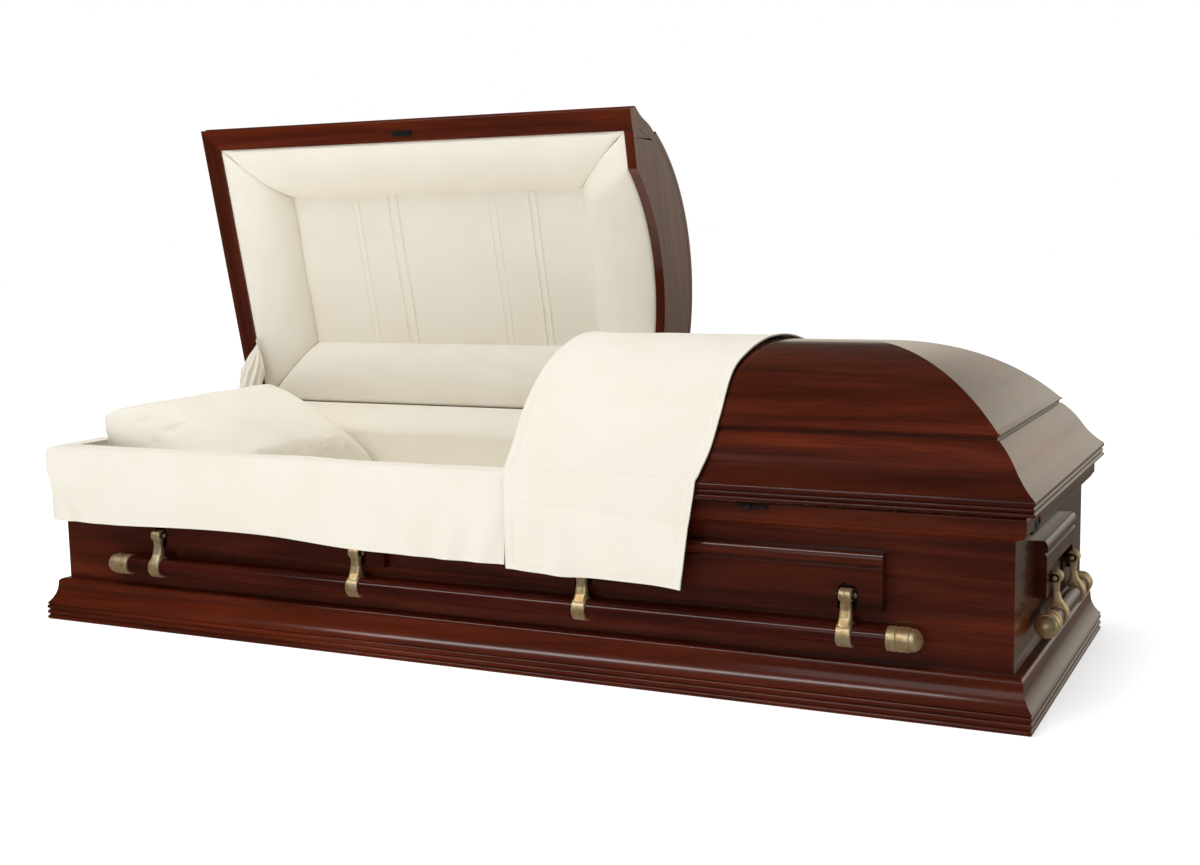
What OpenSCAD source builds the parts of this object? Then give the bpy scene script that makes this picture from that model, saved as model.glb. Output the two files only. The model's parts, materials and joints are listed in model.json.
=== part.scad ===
// Half-couch wooden casket: a moulded hardwood box on a coved plinth, two domed and hipped
// lids on the back edge, swing-bar handles on all four sides, and an upholstered interior.
// X runs from the head end (-X) to the foot end (+X), -Y is the front, the floor is Z = 0.

/* [Overall] */
// Length over the plinth
casket_l = 2134; // [1900:1:2600]
// Width over the plinth
casket_w = 745; // [620:1:900]
// Height of the box's top edge above the floor
side_h = 355; // [320:1:430]
// Where the two lids meet, measured from the middle of the casket
split_x = 99; // [-100:1:300]
// How far the head lid stands open
open_angle = 77.7; // [0:0.1:85]

/* [Box] */
// Thickness of the side and end boards
board_t = 19; // [12:0.5:25]
// Thickness of the bottom board
bottom_t = 12; // [9:0.5:20]
// Distance from the plinth's outer face in to the boards
board_in = 38; // [34:0.5:45]
// Height of the plinth
plinth_h = 90; // [84:1:110]
// Height of the top rail round the box
rail_h = 42; // [36:1:60]
// Distance from the plinth's outer face in to the rail's face
rail_in = 16.5; // [14:0.5:24]

/* [Lids] */
// Shadow gap between the box's top edge and the lids
lid_gap = 5; // [4.5:0.1:7]
// Height of the reeded rim of a lid
rim_h = 29; // [26:1:36]
// Width of the rim's flat underside
rim_w = 50; // [44:1:60]
// Height of the curved moulding above the rim
ogee_h = 84; // [70:1:110]
// Distance from the plinth's outer face in to the foot of the dome
dome_in = 72.5; // [66:0.5:90]
// Rise of the dome above its foot
dome_h = 134; // [110:1:170]
// Wall thickness of the dome
dome_t = 12; // [8:0.5:16]
// Thickness of the arched board that closes a lid at the split
header_t = 22; // [16:1:26]
// Clear gap between the two lids
split_gap = 3; // [2:0.5:6]

/* [Panels] */
// Length of each raised panel on the long sides
panel_l = 625; // [560:1:640]
// Middle of each long panel from the middle of the casket
panel_mid = 500.5; // [440:0.5:540]
// Length of the raised panel on each end
end_panel_l = 300; // [280:1:340]
// Height of a raised panel
panel_h = 102; // [90:1:120]
// Height of a raised panel's lower edge above the floor
panel_z = 179; // [170:1:190]
// Thickness of a raised panel
panel_t = 20; // [18:0.5:21]

/* [Handles] */
// Height of the arms' hinge pins above the floor
pivot_z = 207; // [200:1:214]
// Distance of the hinge pins out from the boards
pivot_out = 25; // [24:0.5:30]
// Height of the hanging bar's centre line above the floor
bar_z = 139; // [132:1:145]
// Distance of the hanging bar's centre line out from the boards
bar_out = 26; // [25:0.5:32]
// Radius of the wooden bar
bar_r = 18; // [14:0.5:19]
// Radius of the hinge pins
pin_r = 3.5; // [3:0.1:4]
// Running clearance round each hinge pin
pin_gap = 0.1; // [0.05:0.01:0.2]
// Overall length of a long handle between the faces of its tips
long_handle_l = 1770; // [1600:1:1780]
// Overall length of an end handle between the faces of its tips
end_handle_l = 416; // [380:1:440]
// Distance of an end handle's arms from the middle
end_arm_x = 92; // [80:1:100]

/* [Upholstery] */
// Thickness of the padded cloth on the inside walls
lining_t = 8; // [5:0.5:14]
// Height of the mattress top above the floor
bed_z = 230; // [200:1:250]
// Depth from the rim up to the flat panel inside a lid
cap_depth = 80; // [60:1:84]
// Inset of that flat panel from the lid's edge
cap_in = 186; // [170:1:210]
// Length of the pillow along the casket
pillow_l = 430; // [340:1:460]
// How much the pillow is raised towards the head end, in degrees
pillow_tilt = 19; // [5:1:22]
// Thickness of the pillow
pillow_t = 125; // [90:1:130]
// Width of the cloth throw over the foot lid
throw_w = 385; // [300:1:450]
// Height of the throw's front hem above the floor
throw_hem = 200; // [190:1:260]
// Height of the apron's hem above the floor
apron_hem = 214; // [205:1:260]
// Height of the apron's soft roll over the box's top edge
apron_roll = 28; // [10:1:36]

/* [Hidden] */

$fn = 48;
wood = "#5b2416";
dark_wood = "#3f170e";
cloth = "#efe8d8";
brass = "#a8894f";
bronze = "#2a241c";
black = "#151414";

half_l = casket_l / 2;
half_w = casket_w / 2;
lid_z = side_h + lid_gap;
rim_top = lid_z + rim_h;
step_z = rim_top + ogee_h;
neck_h = 7;
dome_z = step_z + neck_h;
dome_half = half_w - dome_in;
crown_r = (dome_half * dome_half + dome_h * dome_h) / (2 * dome_h);
crown_z = dome_z + dome_h - crown_r;
dome_inner_r = crown_r - dome_t;
dome_inner_half = sqrt(dome_inner_r * dome_inner_r - (dome_z - crown_z) * (dome_z - crown_z));
neck_in = half_w - dome_inner_half;
head_cut = split_x - split_gap / 2;
foot_cut = split_x + split_gap / 2;
hinge_y = half_w + 3;
hinge_z = side_h + lid_gap / 2;
arch_rise = cap_depth + 4;
arch_half = half_w - 134;
arch_r = (arch_half * arch_half + arch_rise * arch_rise) / (2 * arch_rise);
header_z = lid_z + 4;

// Points along a circular arc from p to q that turns by the given angle on the way.
function arc_to(p, q, turn, n = 8) =
    let (chord = norm(q - p), lean = atan2(q[1] - p[1], q[0] - p[0]))
    let (r = chord / (2 * sin(turn / 2)), a0 = lean - turn / 2)
    [for (i = [0:n]) let (a = a0 + turn * i / n) p + r * [sin(a) - sin(a0), cos(a0) - cos(a)]];

// The same arc without its first point, for joining on to a line that ends there.
function arc_on(p, q, turn, n = 8) =
    let (points = arc_to(p, q, turn, n))
    [for (i = [1:n]) points[i]];

// Outline of one rounded reed that stands out to the given inset, from height z0 to z1.
function reed(z0, z1, inset, turn = 150) =
    let (root = inset + (z1 - z0) / 2 * tan(turn / 4))
    arc_to([root, z0], [root, z1], -turn, 6);

function reversed(points) = [for (i = [len(points) - 1:-1:0]) points[i]];

// Draws a flat section with its first axis across the casket and its second axis upright,
// and runs it along X from x0 to x1.
module run_x(x0, x1) {
    translate([x0, 0, 0]) rotate([90, 0, 90]) linear_extrude(height = x1 - x0) children();
}

// Runs a section along the front of a rectangle len by wid. The section is drawn as inset
// from the outer face and height. Both ends are mitred at 45 degrees, depth deep.
module front_run(len, wid, depth) {
    intersection() {
        translate([0, -wid / 2, 0]) run_x(-len / 2, len / 2) children();
        translate([0, 0, -1]) linear_extrude(height = 2000) polygon([
            [-len / 2, -wid / 2], [len / 2, -wid / 2],
            [len / 2 - depth, -wid / 2 + depth], [-len / 2 + depth, -wid / 2 + depth]
        ]);
    }
}

// Runs a section along one named side of the casket.
module side_run(side, depth) {
    if (side == "front") front_run(casket_l, casket_w, depth) children();
    if (side == "back") rotate([0, 0, 180]) front_run(casket_l, casket_w, depth) children();
    if (side == "foot") rotate([0, 0, 90]) front_run(casket_w, casket_l, depth) children();
    if (side == "head") rotate([0, 0, -90]) front_run(casket_w, casket_l, depth) children();
}

// As side_run, with room for a section that stands out past the plinth by grow.
module wide_run(side, depth, grow) {
    len = side == "front" ? casket_l : casket_w;
    wid = side == "front" ? casket_w : casket_l;
    rotate([0, 0, side == "front" ? 0 : -90])
        front_run(len + 2 * grow, wid + 2 * grow, depth + grow) translate([grow, 0]) children();
}

// Puts a piece drawn with X along a side, Y outward from the board and Z up on that side.
module on_side(side) {
    if (side == "front") translate([0, board_in - half_w, 0]) rotate([0, 0, 180]) children();
    if (side == "back") translate([0, half_w - board_in, 0]) children();
    if (side == "foot") translate([half_l - board_in, 0, 0]) rotate([0, 0, -90]) children();
    if (side == "head") translate([board_in - half_l, 0, 0]) rotate([0, 0, 90]) children();
}

// ---------------------------------------------------------------- box

module bottom_board() {
    color(dark_wood) translate([board_in - half_l, board_in - half_w, 0])
        cube([casket_l - 2 * board_in, casket_w - 2 * board_in, bottom_t]);
}

module board(side) {
    color(wood) side_run(side, board_in + board_t)
        translate([board_in, bottom_t]) square([board_t, side_h - bottom_t]);
}

// Plinth section: three reeds, a tall cove and a rounded cap.
module plinth_section() {
    reed_h = 9.4;
    pitch = reed_h + 2.2;
    cove_z = 3 * pitch + 1.2;
    cap_z = plinth_h - 10;
    polygon(concat(
        [[board_in, 0]],
        [for (i = [0:2]) for (p = reed(i * pitch, i * pitch + reed_h, 0)) p],
        [[3, cove_z - 2.4], [0.6, cove_z - 1.6]],
        arc_to([0.6, cove_z], [18.8, cap_z], 45),
        arc_on([18.8, cap_z], [27.8, plinth_h - 1], -90, 5),
        [[board_in, plinth_h]]
    ));
}

module plinth(side) {
    color(wood) side_run(side, board_in) plinth_section();
}

// Rail section: a flat band with a bead at the top and a chamfer under it.
module rail_section() {
    rail_z = side_h - rail_h;
    polygon([
        [rail_in, rail_z + 15], [rail_in + 5.5, rail_z + 7], [board_in, rail_z],
        [board_in, side_h], [rail_in + 2, side_h], [rail_in, side_h - 2]
    ]);
}

lock_y = -266;
lock_z = side_h - 25;
lock_w = 60;
lock_h = 24;
lock_deep = 5;

module rail(side) {
    color(wood) difference() {
        side_run(side, board_in) rail_section();
        if (side == "foot") translate([half_l - rail_in - lock_deep, lock_y - lock_w / 2, lock_z - lock_h / 2])
            cube([lock_deep + 5, lock_w, lock_h]);
    }
}

// Key plate at the bottom of its pocket in the foot rail, with a round key socket.
module lock_plate() {
    color(black) difference() {
        translate([half_l - rail_in - lock_deep, lock_y - lock_w / 2 + 0.2, lock_z - lock_h / 2 + 0.2])
            cube([3, lock_w - 0.4, lock_h - 0.4]);
        translate([half_l - rail_in - lock_deep - 1, lock_y, lock_z]) rotate([0, 90, 0]) cylinder(r = 5, h = 10);
    }
}

// ---------------------------------------------------------------- raised panels and ears

cheek_t = 4.5;
arm_w = 23;
side_gap = 0.4;
ear_w = arm_w + 2 * (cheek_t + side_gap);
pocket_floor = 6;
pocket_top = pivot_z + 20;
long_arms = [-251, 251];
end_arms = [-end_arm_x, end_arm_x];
end_pocket_w = 2 * end_arm_x + 62;

// Section of a raised panel: distance out from the board, and height.
module panel_section() {
    top = panel_z + panel_h;
    polygon(concat(
        [[0, panel_z], [panel_t - 1.5, panel_z], [panel_t - 1.5, top - 26], [panel_t - 5, top - 24.5]],
        [[panel_t - 5, top - 21], [panel_t, top - 19.5]],
        arc_to([panel_t, top - 14], [panel_t - 5, top], 40, 5),
        [[0, top]]
    ));
}

// Recess cut from a raised panel's lower edge, with a rounded top.
module pocket(width) {
    side = width / 2;
    radius = min(side - 0.2, 17);
    translate([0, panel_t / 2 + pocket_floor, 0]) rotate([90, 0, 0])
        linear_extrude(height = panel_t, center = true) polygon(concat(
            [[-side, panel_z - 1], [side, panel_z - 1]],
            arc_to([side, pocket_top - radius], [side - radius, pocket_top], 90, 6),
            arc_to([radius - side, pocket_top], [-side, pocket_top - radius], 90, 6)
        ));
}

module panel(length, pocket_w, pockets) {
    difference() {
        run_x(-length / 2, length / 2) panel_section();
        for (x = pockets) translate([x, 0, 0]) pocket(pocket_w);
    }
}

// A raised panel on a long side; at = 1 is its foot-end one, at = -1 its head-end one.
module long_panel(side, at) {
    turn = side == "front" ? -1 : 1;
    color(wood) on_side(side) translate([turn * at * panel_mid, 0, 0])
        panel(panel_l, ear_w + 1.6, long_arms);
}

module end_panel(side) {
    color(wood) on_side(side) panel(end_panel_l, end_pocket_w, [0]);
}

// Bracket of one arm: a base in the panel's pocket, two cheeks and the hinge pin.
module ear() {
    cheek_r = 7.5;
    base_t = 3;
    base_low = panel_z + 2;
    translate([-ear_w / 2, pocket_floor, base_low]) cube([ear_w, base_t, pivot_z + cheek_r - base_low]);
    for (s = [-1, 1]) translate([s * (ear_w - cheek_t) / 2 - cheek_t / 2, 0, pivot_z])
        run_x(0, cheek_t) {
            translate([pocket_floor, -cheek_r]) square([pivot_out - pocket_floor, 2 * cheek_r]);
            translate([pivot_out, 0]) circle(r = cheek_r);
        }
    translate([0, pivot_out, pivot_z]) rotate([0, 90, 0]) cylinder(r = pin_r, h = ear_w, center = true);
}

function arm_places(side) =
    (side == "front" || side == "back")
    ? [for (at = [-1, 1]) for (x = long_arms) at * panel_mid + x]
    : end_arms;

module ears(side) {
    color(bronze) on_side(side) for (x = arm_places(side)) translate([x, 0, 0]) ear();
}

// ---------------------------------------------------------------- swing-bar handles

eye_r = 12;
collar_w = 27;
collar_r = bar_r + 4;
tip_l = 60;
tip_r = bar_r + 3.5;
socket_l = 40;
seat_gap = 0.05;

// One brass arm: an eye on the pin, a tapered S-shaped shank and a collar round the bar.
module arm() {
    drop = bar_z - pivot_z;
    reach = bar_out - pivot_out;
    waist = drop * 0.4;
    foot = drop * 0.79;
    difference() {
        union() {
            rotate([0, 90, 0]) cylinder(r = eye_r, h = arm_w, center = true);
            intersection() {
                run_x(-collar_w, collar_w) polygon(concat(
                    arc_to([9, -6], [5, waist], -30, 4), arc_on([5, waist], [reach + 16, foot], 50, 5),
                    arc_to([reach - 14, foot], [-5, waist], 40, 5), arc_on([-5, waist], [-9, -6], -30, 4)
                ));
                rotate([90, 0, 0]) linear_extrude(height = 120, center = true) polygon([
                    [-arm_w / 2 + 1, 0], [arm_w / 2 - 1, 0], [collar_w / 2 - 1, foot], [-collar_w / 2 + 1, foot]
                ]);
            }
            translate([0, reach, drop]) rotate([0, 90, 0]) cylinder(r = collar_r, h = collar_w, center = true);
        }
        rotate([0, 90, 0]) cylinder(r = pin_r + pin_gap, h = 2 * arm_w, center = true);
        translate([0, reach, drop]) rotate([0, 90, 0])
            cylinder(r = bar_r + seat_gap, h = 2 * collar_w, center = true);
    }
}

// Turned brass cap on the bar's end, with its domed face at the end of the length.
module tip() {
    rotate([0, 90, 0]) difference() {
        rotate_extrude($fn = 64) polygon(concat(
            [[0, 0], [tip_r, 0], [tip_r, 16], [tip_r - 1.6, 16], [tip_r - 1.6, 18], [tip_r, 18]],
            [[tip_r, 40], [tip_r - 1.8, 40], [tip_r - 1.8, 48]],
            arc_to([tip_r - 1.8, 48], [0, tip_l], 60, 6)
        ));
        translate([0, 0, -1]) cylinder(r = bar_r + seat_gap, h = socket_l + 1);
    }
}

module bar(side) {
    length = (side == "front" || side == "back") ? long_handle_l : end_handle_l;
    reach = length - 2 * (tip_l - socket_l) - 2 * seat_gap;
    color(dark_wood) on_side(side) translate([0, bar_out, bar_z])
        rotate([0, 90, 0]) cylinder(r = bar_r, h = reach, center = true);
}

module bar_brass(side) {
    length = (side == "front" || side == "back") ? long_handle_l : end_handle_l;
    color(brass) on_side(side) {
        for (x = arm_places(side)) translate([x, pivot_out, pivot_z]) arm();
        for (s = [0, 1]) translate([0, bar_out, bar_z]) mirror([s, 0, 0])
            translate([length / 2 - tip_l, 0, 0]) tip();
    }
}

// ---------------------------------------------------------------- lids, drawn closed

// Plan of a lid's mitred region: the lid's far corner is at X = -half_l and it ends at cut.
module lid_front_run(cut, depth) {
    intersection() {
        translate([0, -half_w, 0]) run_x(-half_l, cut) children();
        translate([0, 0, lid_z - 10]) linear_extrude(height = 400) polygon([
            [-half_l, -half_w], [cut, -half_w], [cut, -half_w + depth], [-half_l + depth, -half_w + depth]
        ]);
    }
}

// Section of the lid's edge: reeded rim, double-curved moulding and the neck under the dome.
module lid_section() {
    edge = 0.7;
    low_z = lid_z + rim_h * 0.26;
    top_z = rim_top - rim_h * 0.4;
    top_reed = reed(top_z, rim_top, edge, 120);
    start = top_reed[len(top_reed) - 1];
    finish = [dome_in + 1.5, step_z];
    half_way = (start + finish) / 2 + [0, -1];
    polygon(concat(
        [[rim_w, lid_z]],
        reed(lid_z, low_z, edge),
        reed(low_z + 1, top_z - 1, edge + 1.5),
        top_reed,
        arc_on(start, half_way, 21, 6),
        arc_on(half_way, finish, -19, 6),
        [[dome_in + 5.5, step_z], [dome_in + 5.5, dome_z], [neck_in, dome_z]],
        [[neck_in, step_z - 13], [rim_w, rim_top + 3]]
    ));
}

module lid_side(cut) {
    lid_front_run(cut, neck_in + 1) lid_section();
}

module lid_end() {
    intersection() {
        rotate([0, 0, -90]) front_run(casket_w, casket_l, neck_in + 1) lid_section();
        translate([-half_l - 1, -half_w - 1, 0]) cube([half_l, casket_w + 2, 1000]);
    }
}

// Arched section of the dome across the lid, in width and height.
module dome_section() {
    intersection() {
        difference() {
            translate([0, crown_z]) circle(r = crown_r, $fn = 180);
            translate([0, crown_z]) circle(r = dome_inner_r, $fn = 180);
        }
        translate([-half_w, dome_z]) square([casket_w, dome_h + 10]);
    }
}

// Upright prism over the hipped end of a lid, whose edges are the two hips.
module hip_plan(grow = 0) {
    translate([0, 0, dome_z - 1]) linear_extrude(height = dome_h + 2) polygon([
        [-half_l - grow, -half_w - grow], [-half_l + half_w, 0], [-half_l - grow, half_w + grow]
    ]);
}

module lid_dome(cut) {
    difference() {
        run_x(-half_l, cut) dome_section();
        hip_plan(1);
    }
}

module lid_hip() {
    intersection() {
        translate([-half_l + half_w, 0, 0]) rotate([90, 0, 0])
            linear_extrude(height = casket_w, center = true) dome_section();
        hip_plan();
    }
}

// Arched board inside the lid's shell at the split.
module lid_header(cut) {
    run_x(cut - header_t, cut - 0.5) difference() {
        union() {
            intersection() {
                translate([0, crown_z]) circle(r = dome_inner_r, $fn = 180);
                translate([-dome_inner_half, dome_z - 1]) square([2 * dome_inner_half, dome_h]);
            }
            polygon([
                [-half_w + rim_w, header_z], [half_w - rim_w, header_z], [half_w - rim_w, rim_top + 3],
                [half_w - neck_in, step_z - 13], [half_w - neck_in, dome_z],
                [neck_in - half_w, dome_z], [neck_in - half_w, step_z - 13], [rim_w - half_w, rim_top + 3]
            ]);
        }
        arch_below();
    }
}

// Everything under the header's arch.
module arch_below(clear = 0) {
    intersection() {
        translate([0, header_z + arch_rise - arch_r]) circle(r = arch_r + clear, $fn = 180);
        translate([-half_w, header_z - 1]) square([casket_w, arch_rise + 10]);
    }
}

// A block between two heights whose four sides lean, for the hollow and body of the lining.
module leaning_block(z0, in0, z1, in1, cut, cut0, cut1) {
    hull() {
        translate([-half_l + in0, -half_w + in0, z0])
            cube([cut - cut0 + half_l - in0, casket_w - 2 * in0, 0.01]);
        translate([-half_l + in1, -half_w + in1, z1])
            cube([cut - cut1 + half_l - in1, casket_w - 2 * in1, 0.01]);
    }
}

// Padded border inside a lid, from the rim in to the flat panel.
module lid_puff(cut, solid_top) {
    clear = 0.4;
    back = header_t + clear;
    low = lid_z + 4;
    top = lid_z + cap_depth + 12;
    lean = (neck_in - rim_w) / (step_z - 13 - rim_top - 3);
    top_in = rim_w + (top - rim_top - 3) * lean + clear + 1;
    difference() {
        union() {
            translate([-half_l + rim_w + clear, -half_w + rim_w + clear, low]) cube([
                cut - back + half_l - rim_w - clear, casket_w - 2 * (rim_w + clear), rim_top + 3 - low
            ]);
            leaning_block(rim_top + 2.9, rim_w + clear, top, top_in, cut, back, back);
        }
        leaning_block(low - 1, rim_w + clear + 1, lid_z + cap_depth, cap_in, cut, back + 1, cap_in);
        run_x(cut - cap_in, cut) arch_below(2);
        if (!solid_top) leaning_block(low, cap_in, top + 1, cap_in, cut, cap_in, cap_in);
    }
}

module cap_panel(cut) {
    translate([-half_l + cap_in + 0.3, -half_w + cap_in + 0.3, lid_z + cap_depth])
        cube([cut + half_l - 2 * cap_in - 0.6, casket_w - 2 * cap_in - 0.6, 12]);
}

// Turns a closed head lid to its open place on the hinge line.
module opened() {
    translate([0, hinge_y, hinge_z]) rotate([-open_angle, 0, 0]) translate([0, -hinge_y, -hinge_z]) children();
}

// Mirrors a lid drawn at the head end to the foot end.
module at_foot() {
    mirror([1, 0, 0]) children();
}

module head_lid_front() { color(wood) opened() lid_side(head_cut); }
module head_lid_back() { color(wood) opened() mirror([0, 1, 0]) lid_side(head_cut); }
module head_lid_end() { color(wood) opened() lid_end(); }
module head_lid_dome() { color(wood) opened() lid_dome(head_cut); }
module head_lid_hip() { color(wood) opened() lid_hip(); }
module head_lid_header() { color(dark_wood) opened() lid_header(head_cut); }
module head_lid_puff() { color(cloth) opened() lid_puff(head_cut, false); }
module head_lid_cap_panel() { color(cloth) opened() cap_panel(head_cut); }
module foot_lid_front() { color(wood) at_foot() lid_side(-foot_cut); }
module foot_lid_back() { color(wood) at_foot() mirror([0, 1, 0]) lid_side(-foot_cut); }
module foot_lid_end() { color(wood) at_foot() lid_end(); }
module foot_lid_dome() { color(wood) at_foot() lid_dome(-foot_cut); }
module foot_lid_hip() { color(wood) at_foot() lid_hip(); }
module foot_lid_header() { color(dark_wood) at_foot() lid_header(-foot_cut); }
module foot_lid_lining() { color(cloth) at_foot() lid_puff(-foot_cut, true); }

// ---------------------------------------------------------------- hinges and catches

knuckle_l = 26;
knuckle_r = 4;
knuckle_gap = 0.4;
hinge_pin_r = 2;
leaf_t = 1.7;
head_hinges = [-half_l + 215, head_cut - 220];
foot_hinges = [foot_cut + 220, half_l - 215];

// Casket side of one hinge: a leaf on the back rail, two outer knuckles and the pin.
module hinge_knuckles() {
    rail_y = half_w - rail_in;
    span = 3 * knuckle_l + 2 * knuckle_gap;
    translate([-span / 2, rail_y, side_h - 27]) cube([span, leaf_t, 26]);
    for (s = [-1, 1]) translate([s * (knuckle_l + knuckle_gap) - knuckle_l / 2, 0, 0]) {
        translate([0, rail_y, hinge_z - knuckle_r]) cube([knuckle_l, hinge_y - rail_y, 2.6]);
        translate([0, hinge_y, hinge_z]) rotate([0, 90, 0]) cylinder(r = knuckle_r, h = knuckle_l);
    }
    translate([-span / 2, hinge_y, hinge_z]) rotate([0, 90, 0]) cylinder(r = hinge_pin_r, h = span);
}

// Lid side of one hinge: a leaf under the rim and the middle knuckle.
module hinge_leaf() {
    span = 3 * knuckle_l + 2 * knuckle_gap;
    difference() {
        union() {
            translate([-span / 2, hinge_y - 40, lid_z - leaf_t]) cube([span, 34, leaf_t]);
            translate([-knuckle_l / 2, hinge_y - 8, lid_z - leaf_t]) cube([knuckle_l, 8, leaf_t]);
            translate([-knuckle_l / 2, hinge_y, hinge_z]) rotate([0, 90, 0])
                cylinder(r = knuckle_r, h = knuckle_l);
        }
        translate([-span, hinge_y, hinge_z]) rotate([0, 90, 0])
            cylinder(r = hinge_pin_r + pin_gap, h = 2 * span);
    }
}

module head_hinge_knuckles() { color(brass) for (x = head_hinges) translate([x, 0, 0]) hinge_knuckles(); }
module foot_hinge_knuckles() { color(brass) for (x = foot_hinges) translate([x, 0, 0]) hinge_knuckles(); }
module head_lid_hinge_leaves() { color(brass) opened() for (x = head_hinges) translate([x, 0, 0]) hinge_leaf(); }
module foot_lid_hinge_leaves() { color(brass) for (x = foot_hinges) translate([x, 0, 0]) hinge_leaf(); }

// Catch plate under the middle of the head lid's front rim.
module head_lid_keeper() {
    color(black) opened() translate([(head_cut - half_l) / 2 - 26, -half_w + 24, lid_z - 1.9]) cube([52, 13, 1.9]);
}

// Catch on the front rail under the foot lid: a plate and a round button.
module front_latch() {
    color(black) {
        translate([(foot_cut + half_l) / 2 - 27, -half_w + rail_in - 6, side_h - 9]) cube([54, 6, 6]);
        translate([(foot_cut + half_l) / 2 - 6, -half_w + rail_in - 4, side_h - 6]) rotate([90, 0, 0])
            cylinder(r = 5, h = 8);
    }
}

// ---------------------------------------------------------------- upholstery

soft_gap = 0.3;
wall_in = board_in + board_t + soft_gap;
bed_in = wall_in + lining_t + soft_gap;

module wall_lining() {
    low = bottom_t + soft_gap;
    color(cloth) difference() {
        translate([wall_in - half_l, wall_in - half_w, low])
            cube([casket_l - 2 * wall_in, casket_w - 2 * wall_in, side_h - 1 - low]);
        translate([wall_in + lining_t - half_l, wall_in + lining_t - half_w, low - 1])
            cube([casket_l - 2 * (wall_in + lining_t), casket_w - 2 * (wall_in + lining_t), side_h]);
    }
}

module mattress() {
    color(cloth) translate([bed_in - half_l, bed_in - half_w, bottom_t + soft_gap])
        cube([casket_l - 2 * bed_in, casket_w - 2 * bed_in, bed_z - bottom_t - soft_gap]);
}

// A soft wedge-shaped cushion: its top slopes down from the head end and it rests flat.
module pillow() {
    edge_r = 22;
    width = casket_w - 2 * bed_in - 24;
    low = bed_z + soft_gap;
    head_x = bed_in - half_l + 6;
    rise = pillow_l * sin(pillow_tilt);
    run = pillow_l * cos(pillow_tilt);
    crown = pillow_t - 2 * edge_r;
    color(cloth) hull() for (sy = [-1, 1]) {
        for (x = [edge_r, run - edge_r])
            translate([head_x + x, sy * (width / 2 - edge_r), low + edge_r]) sphere(r = edge_r, $fn = 20);
        translate([head_x + edge_r, sy * (width / 2 - edge_r), low + edge_r + rise]) sphere(r = edge_r, $fn = 20);
        translate([head_x + run * 0.36, sy * width * 0.33, low + edge_r + rise * 0.55 + crown * 0.75])
            sphere(r = edge_r, $fn = 20);
        translate([head_x + run * 0.7, sy * width * 0.33, low + edge_r + rise * 0.2 + crown * 0.7])
            sphere(r = edge_r, $fn = 20);
    }
}

apron_t = 3.5;
apron_in = rail_in - soft_gap - apron_t;
apron_flare = 18.5;

// Section of the apron: a skirt that flares out below the rail, and a roll over the top edge.
module apron_section() {
    low = side_h + soft_gap;
    round_r = apron_roll / 2;
    polygon([
        [apron_in, low + 1], [apron_in, side_h - 20], [apron_in - apron_flare, apron_hem],
        [apron_in - apron_flare + apron_t, apron_hem], [apron_in + apron_t, side_h - 20], [apron_in + apron_t, low + 1]
    ]);
    translate([apron_in, low]) square([wall_in + lining_t - apron_in, round_r]);
    translate([apron_in + round_r, low]) square([wall_in + lining_t - apron_in - 2 * round_r, apron_roll]);
    for (o = [apron_in + round_r, wall_in + lining_t - round_r]) translate([o, low + round_r]) circle(r = round_r);
}

// Cloth skirt over the box's edge along the open half of the front and round the head end.
module apron() {
    depth = wall_in + lining_t;
    flare = 2 * apron_flare;
    color(cloth) {
        intersection() {
            wide_run("front", depth, flare) apron_section();
            translate([-half_l - flare, -half_w - flare, 0]) cube([half_l + flare + head_cut - 3, half_w, 1000]);
        }
        wide_run("head", depth, flare) apron_section();
    }
}

// Gathered sleeve over the lid support at the head end, from the box's edge to the lid.
module stay_cover() {
    foot_z = side_h + apron_roll + 2 * soft_gap;
    foot_y = half_w - 74;
    stops = [[42, 0, 22, 22], [46, 6, 72, 23], [55, 17, 130, 19], [63, 24.5, 179, 6]];
    color(cloth) hull() {
        translate([-half_l + 42, foot_y, foot_z]) cylinder(r = 22, h = 2, $fn = 24);
        for (s = stops) translate([-half_l + s[0], foot_y + s[1], foot_z + s[2]]) sphere(r = s[3], $fn = 16);
    }
}

// Outline of the throw's front face and top at a distance off the wood: hem, rim, dome.
function throw_half(off, hem) = [[-half_w + 0.7 - off, hem], [-half_w + 0.7 - off, rim_top + off / 2]];

function throw_crown(off) =
    let (r = crown_r + off, a = acos((dome_z - crown_z + 3) / crown_r))
    [for (i = [-12:12]) [r * sin(a * i / 12), crown_z + r * cos(a * i / 12)]];

function throw_line(off) =
    concat(throw_half(off, throw_hem), throw_crown(off), [[half_w - 22 + off * 0.7, rim_top + 26]]);

// Folded cloth laid over the foot lid beside the split, hanging in front of the rim.
module throw() {
    color(cloth) run_x(foot_cut, foot_cut + throw_w)
        polygon(concat(throw_line(0.5), reversed(throw_line(3.5))));
}

// ---------------------------------------------------------------- nodes

bottom_board();
board("front");  // front_board
board("back");  // back_board
board("head");  // head_board
board("foot");  // foot_board
plinth("front");  // front_plinth
plinth("back");  // back_plinth
plinth("head");  // head_plinth
plinth("foot");  // foot_plinth
rail("front");  // front_rail
rail("back");  // back_rail
rail("head");  // head_rail
rail("foot");  // foot_rail
long_panel("front", -1);  // front_panel_head
long_panel("front", 1);  // front_panel_foot
long_panel("back", -1);  // back_panel_head
long_panel("back", 1);  // back_panel_foot
end_panel("head");  // head_end_panel
end_panel("foot");  // foot_end_panel
ears("front");  // front_ears
ears("back");  // back_ears
ears("head");  // head_ears
ears("foot");  // foot_ears
mattress();
pillow();
wall_lining();
apron();
stay_cover();
head_hinge_knuckles();
foot_hinge_knuckles();
front_latch();
lock_plate();
head_lid_front();
head_lid_back();
head_lid_end();
head_lid_dome();
head_lid_hip();
head_lid_header();
head_lid_puff();
head_lid_cap_panel();
head_lid_hinge_leaves();
head_lid_keeper();
foot_lid_front();
foot_lid_back();
foot_lid_end();
foot_lid_dome();
foot_lid_hip();
foot_lid_header();
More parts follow.
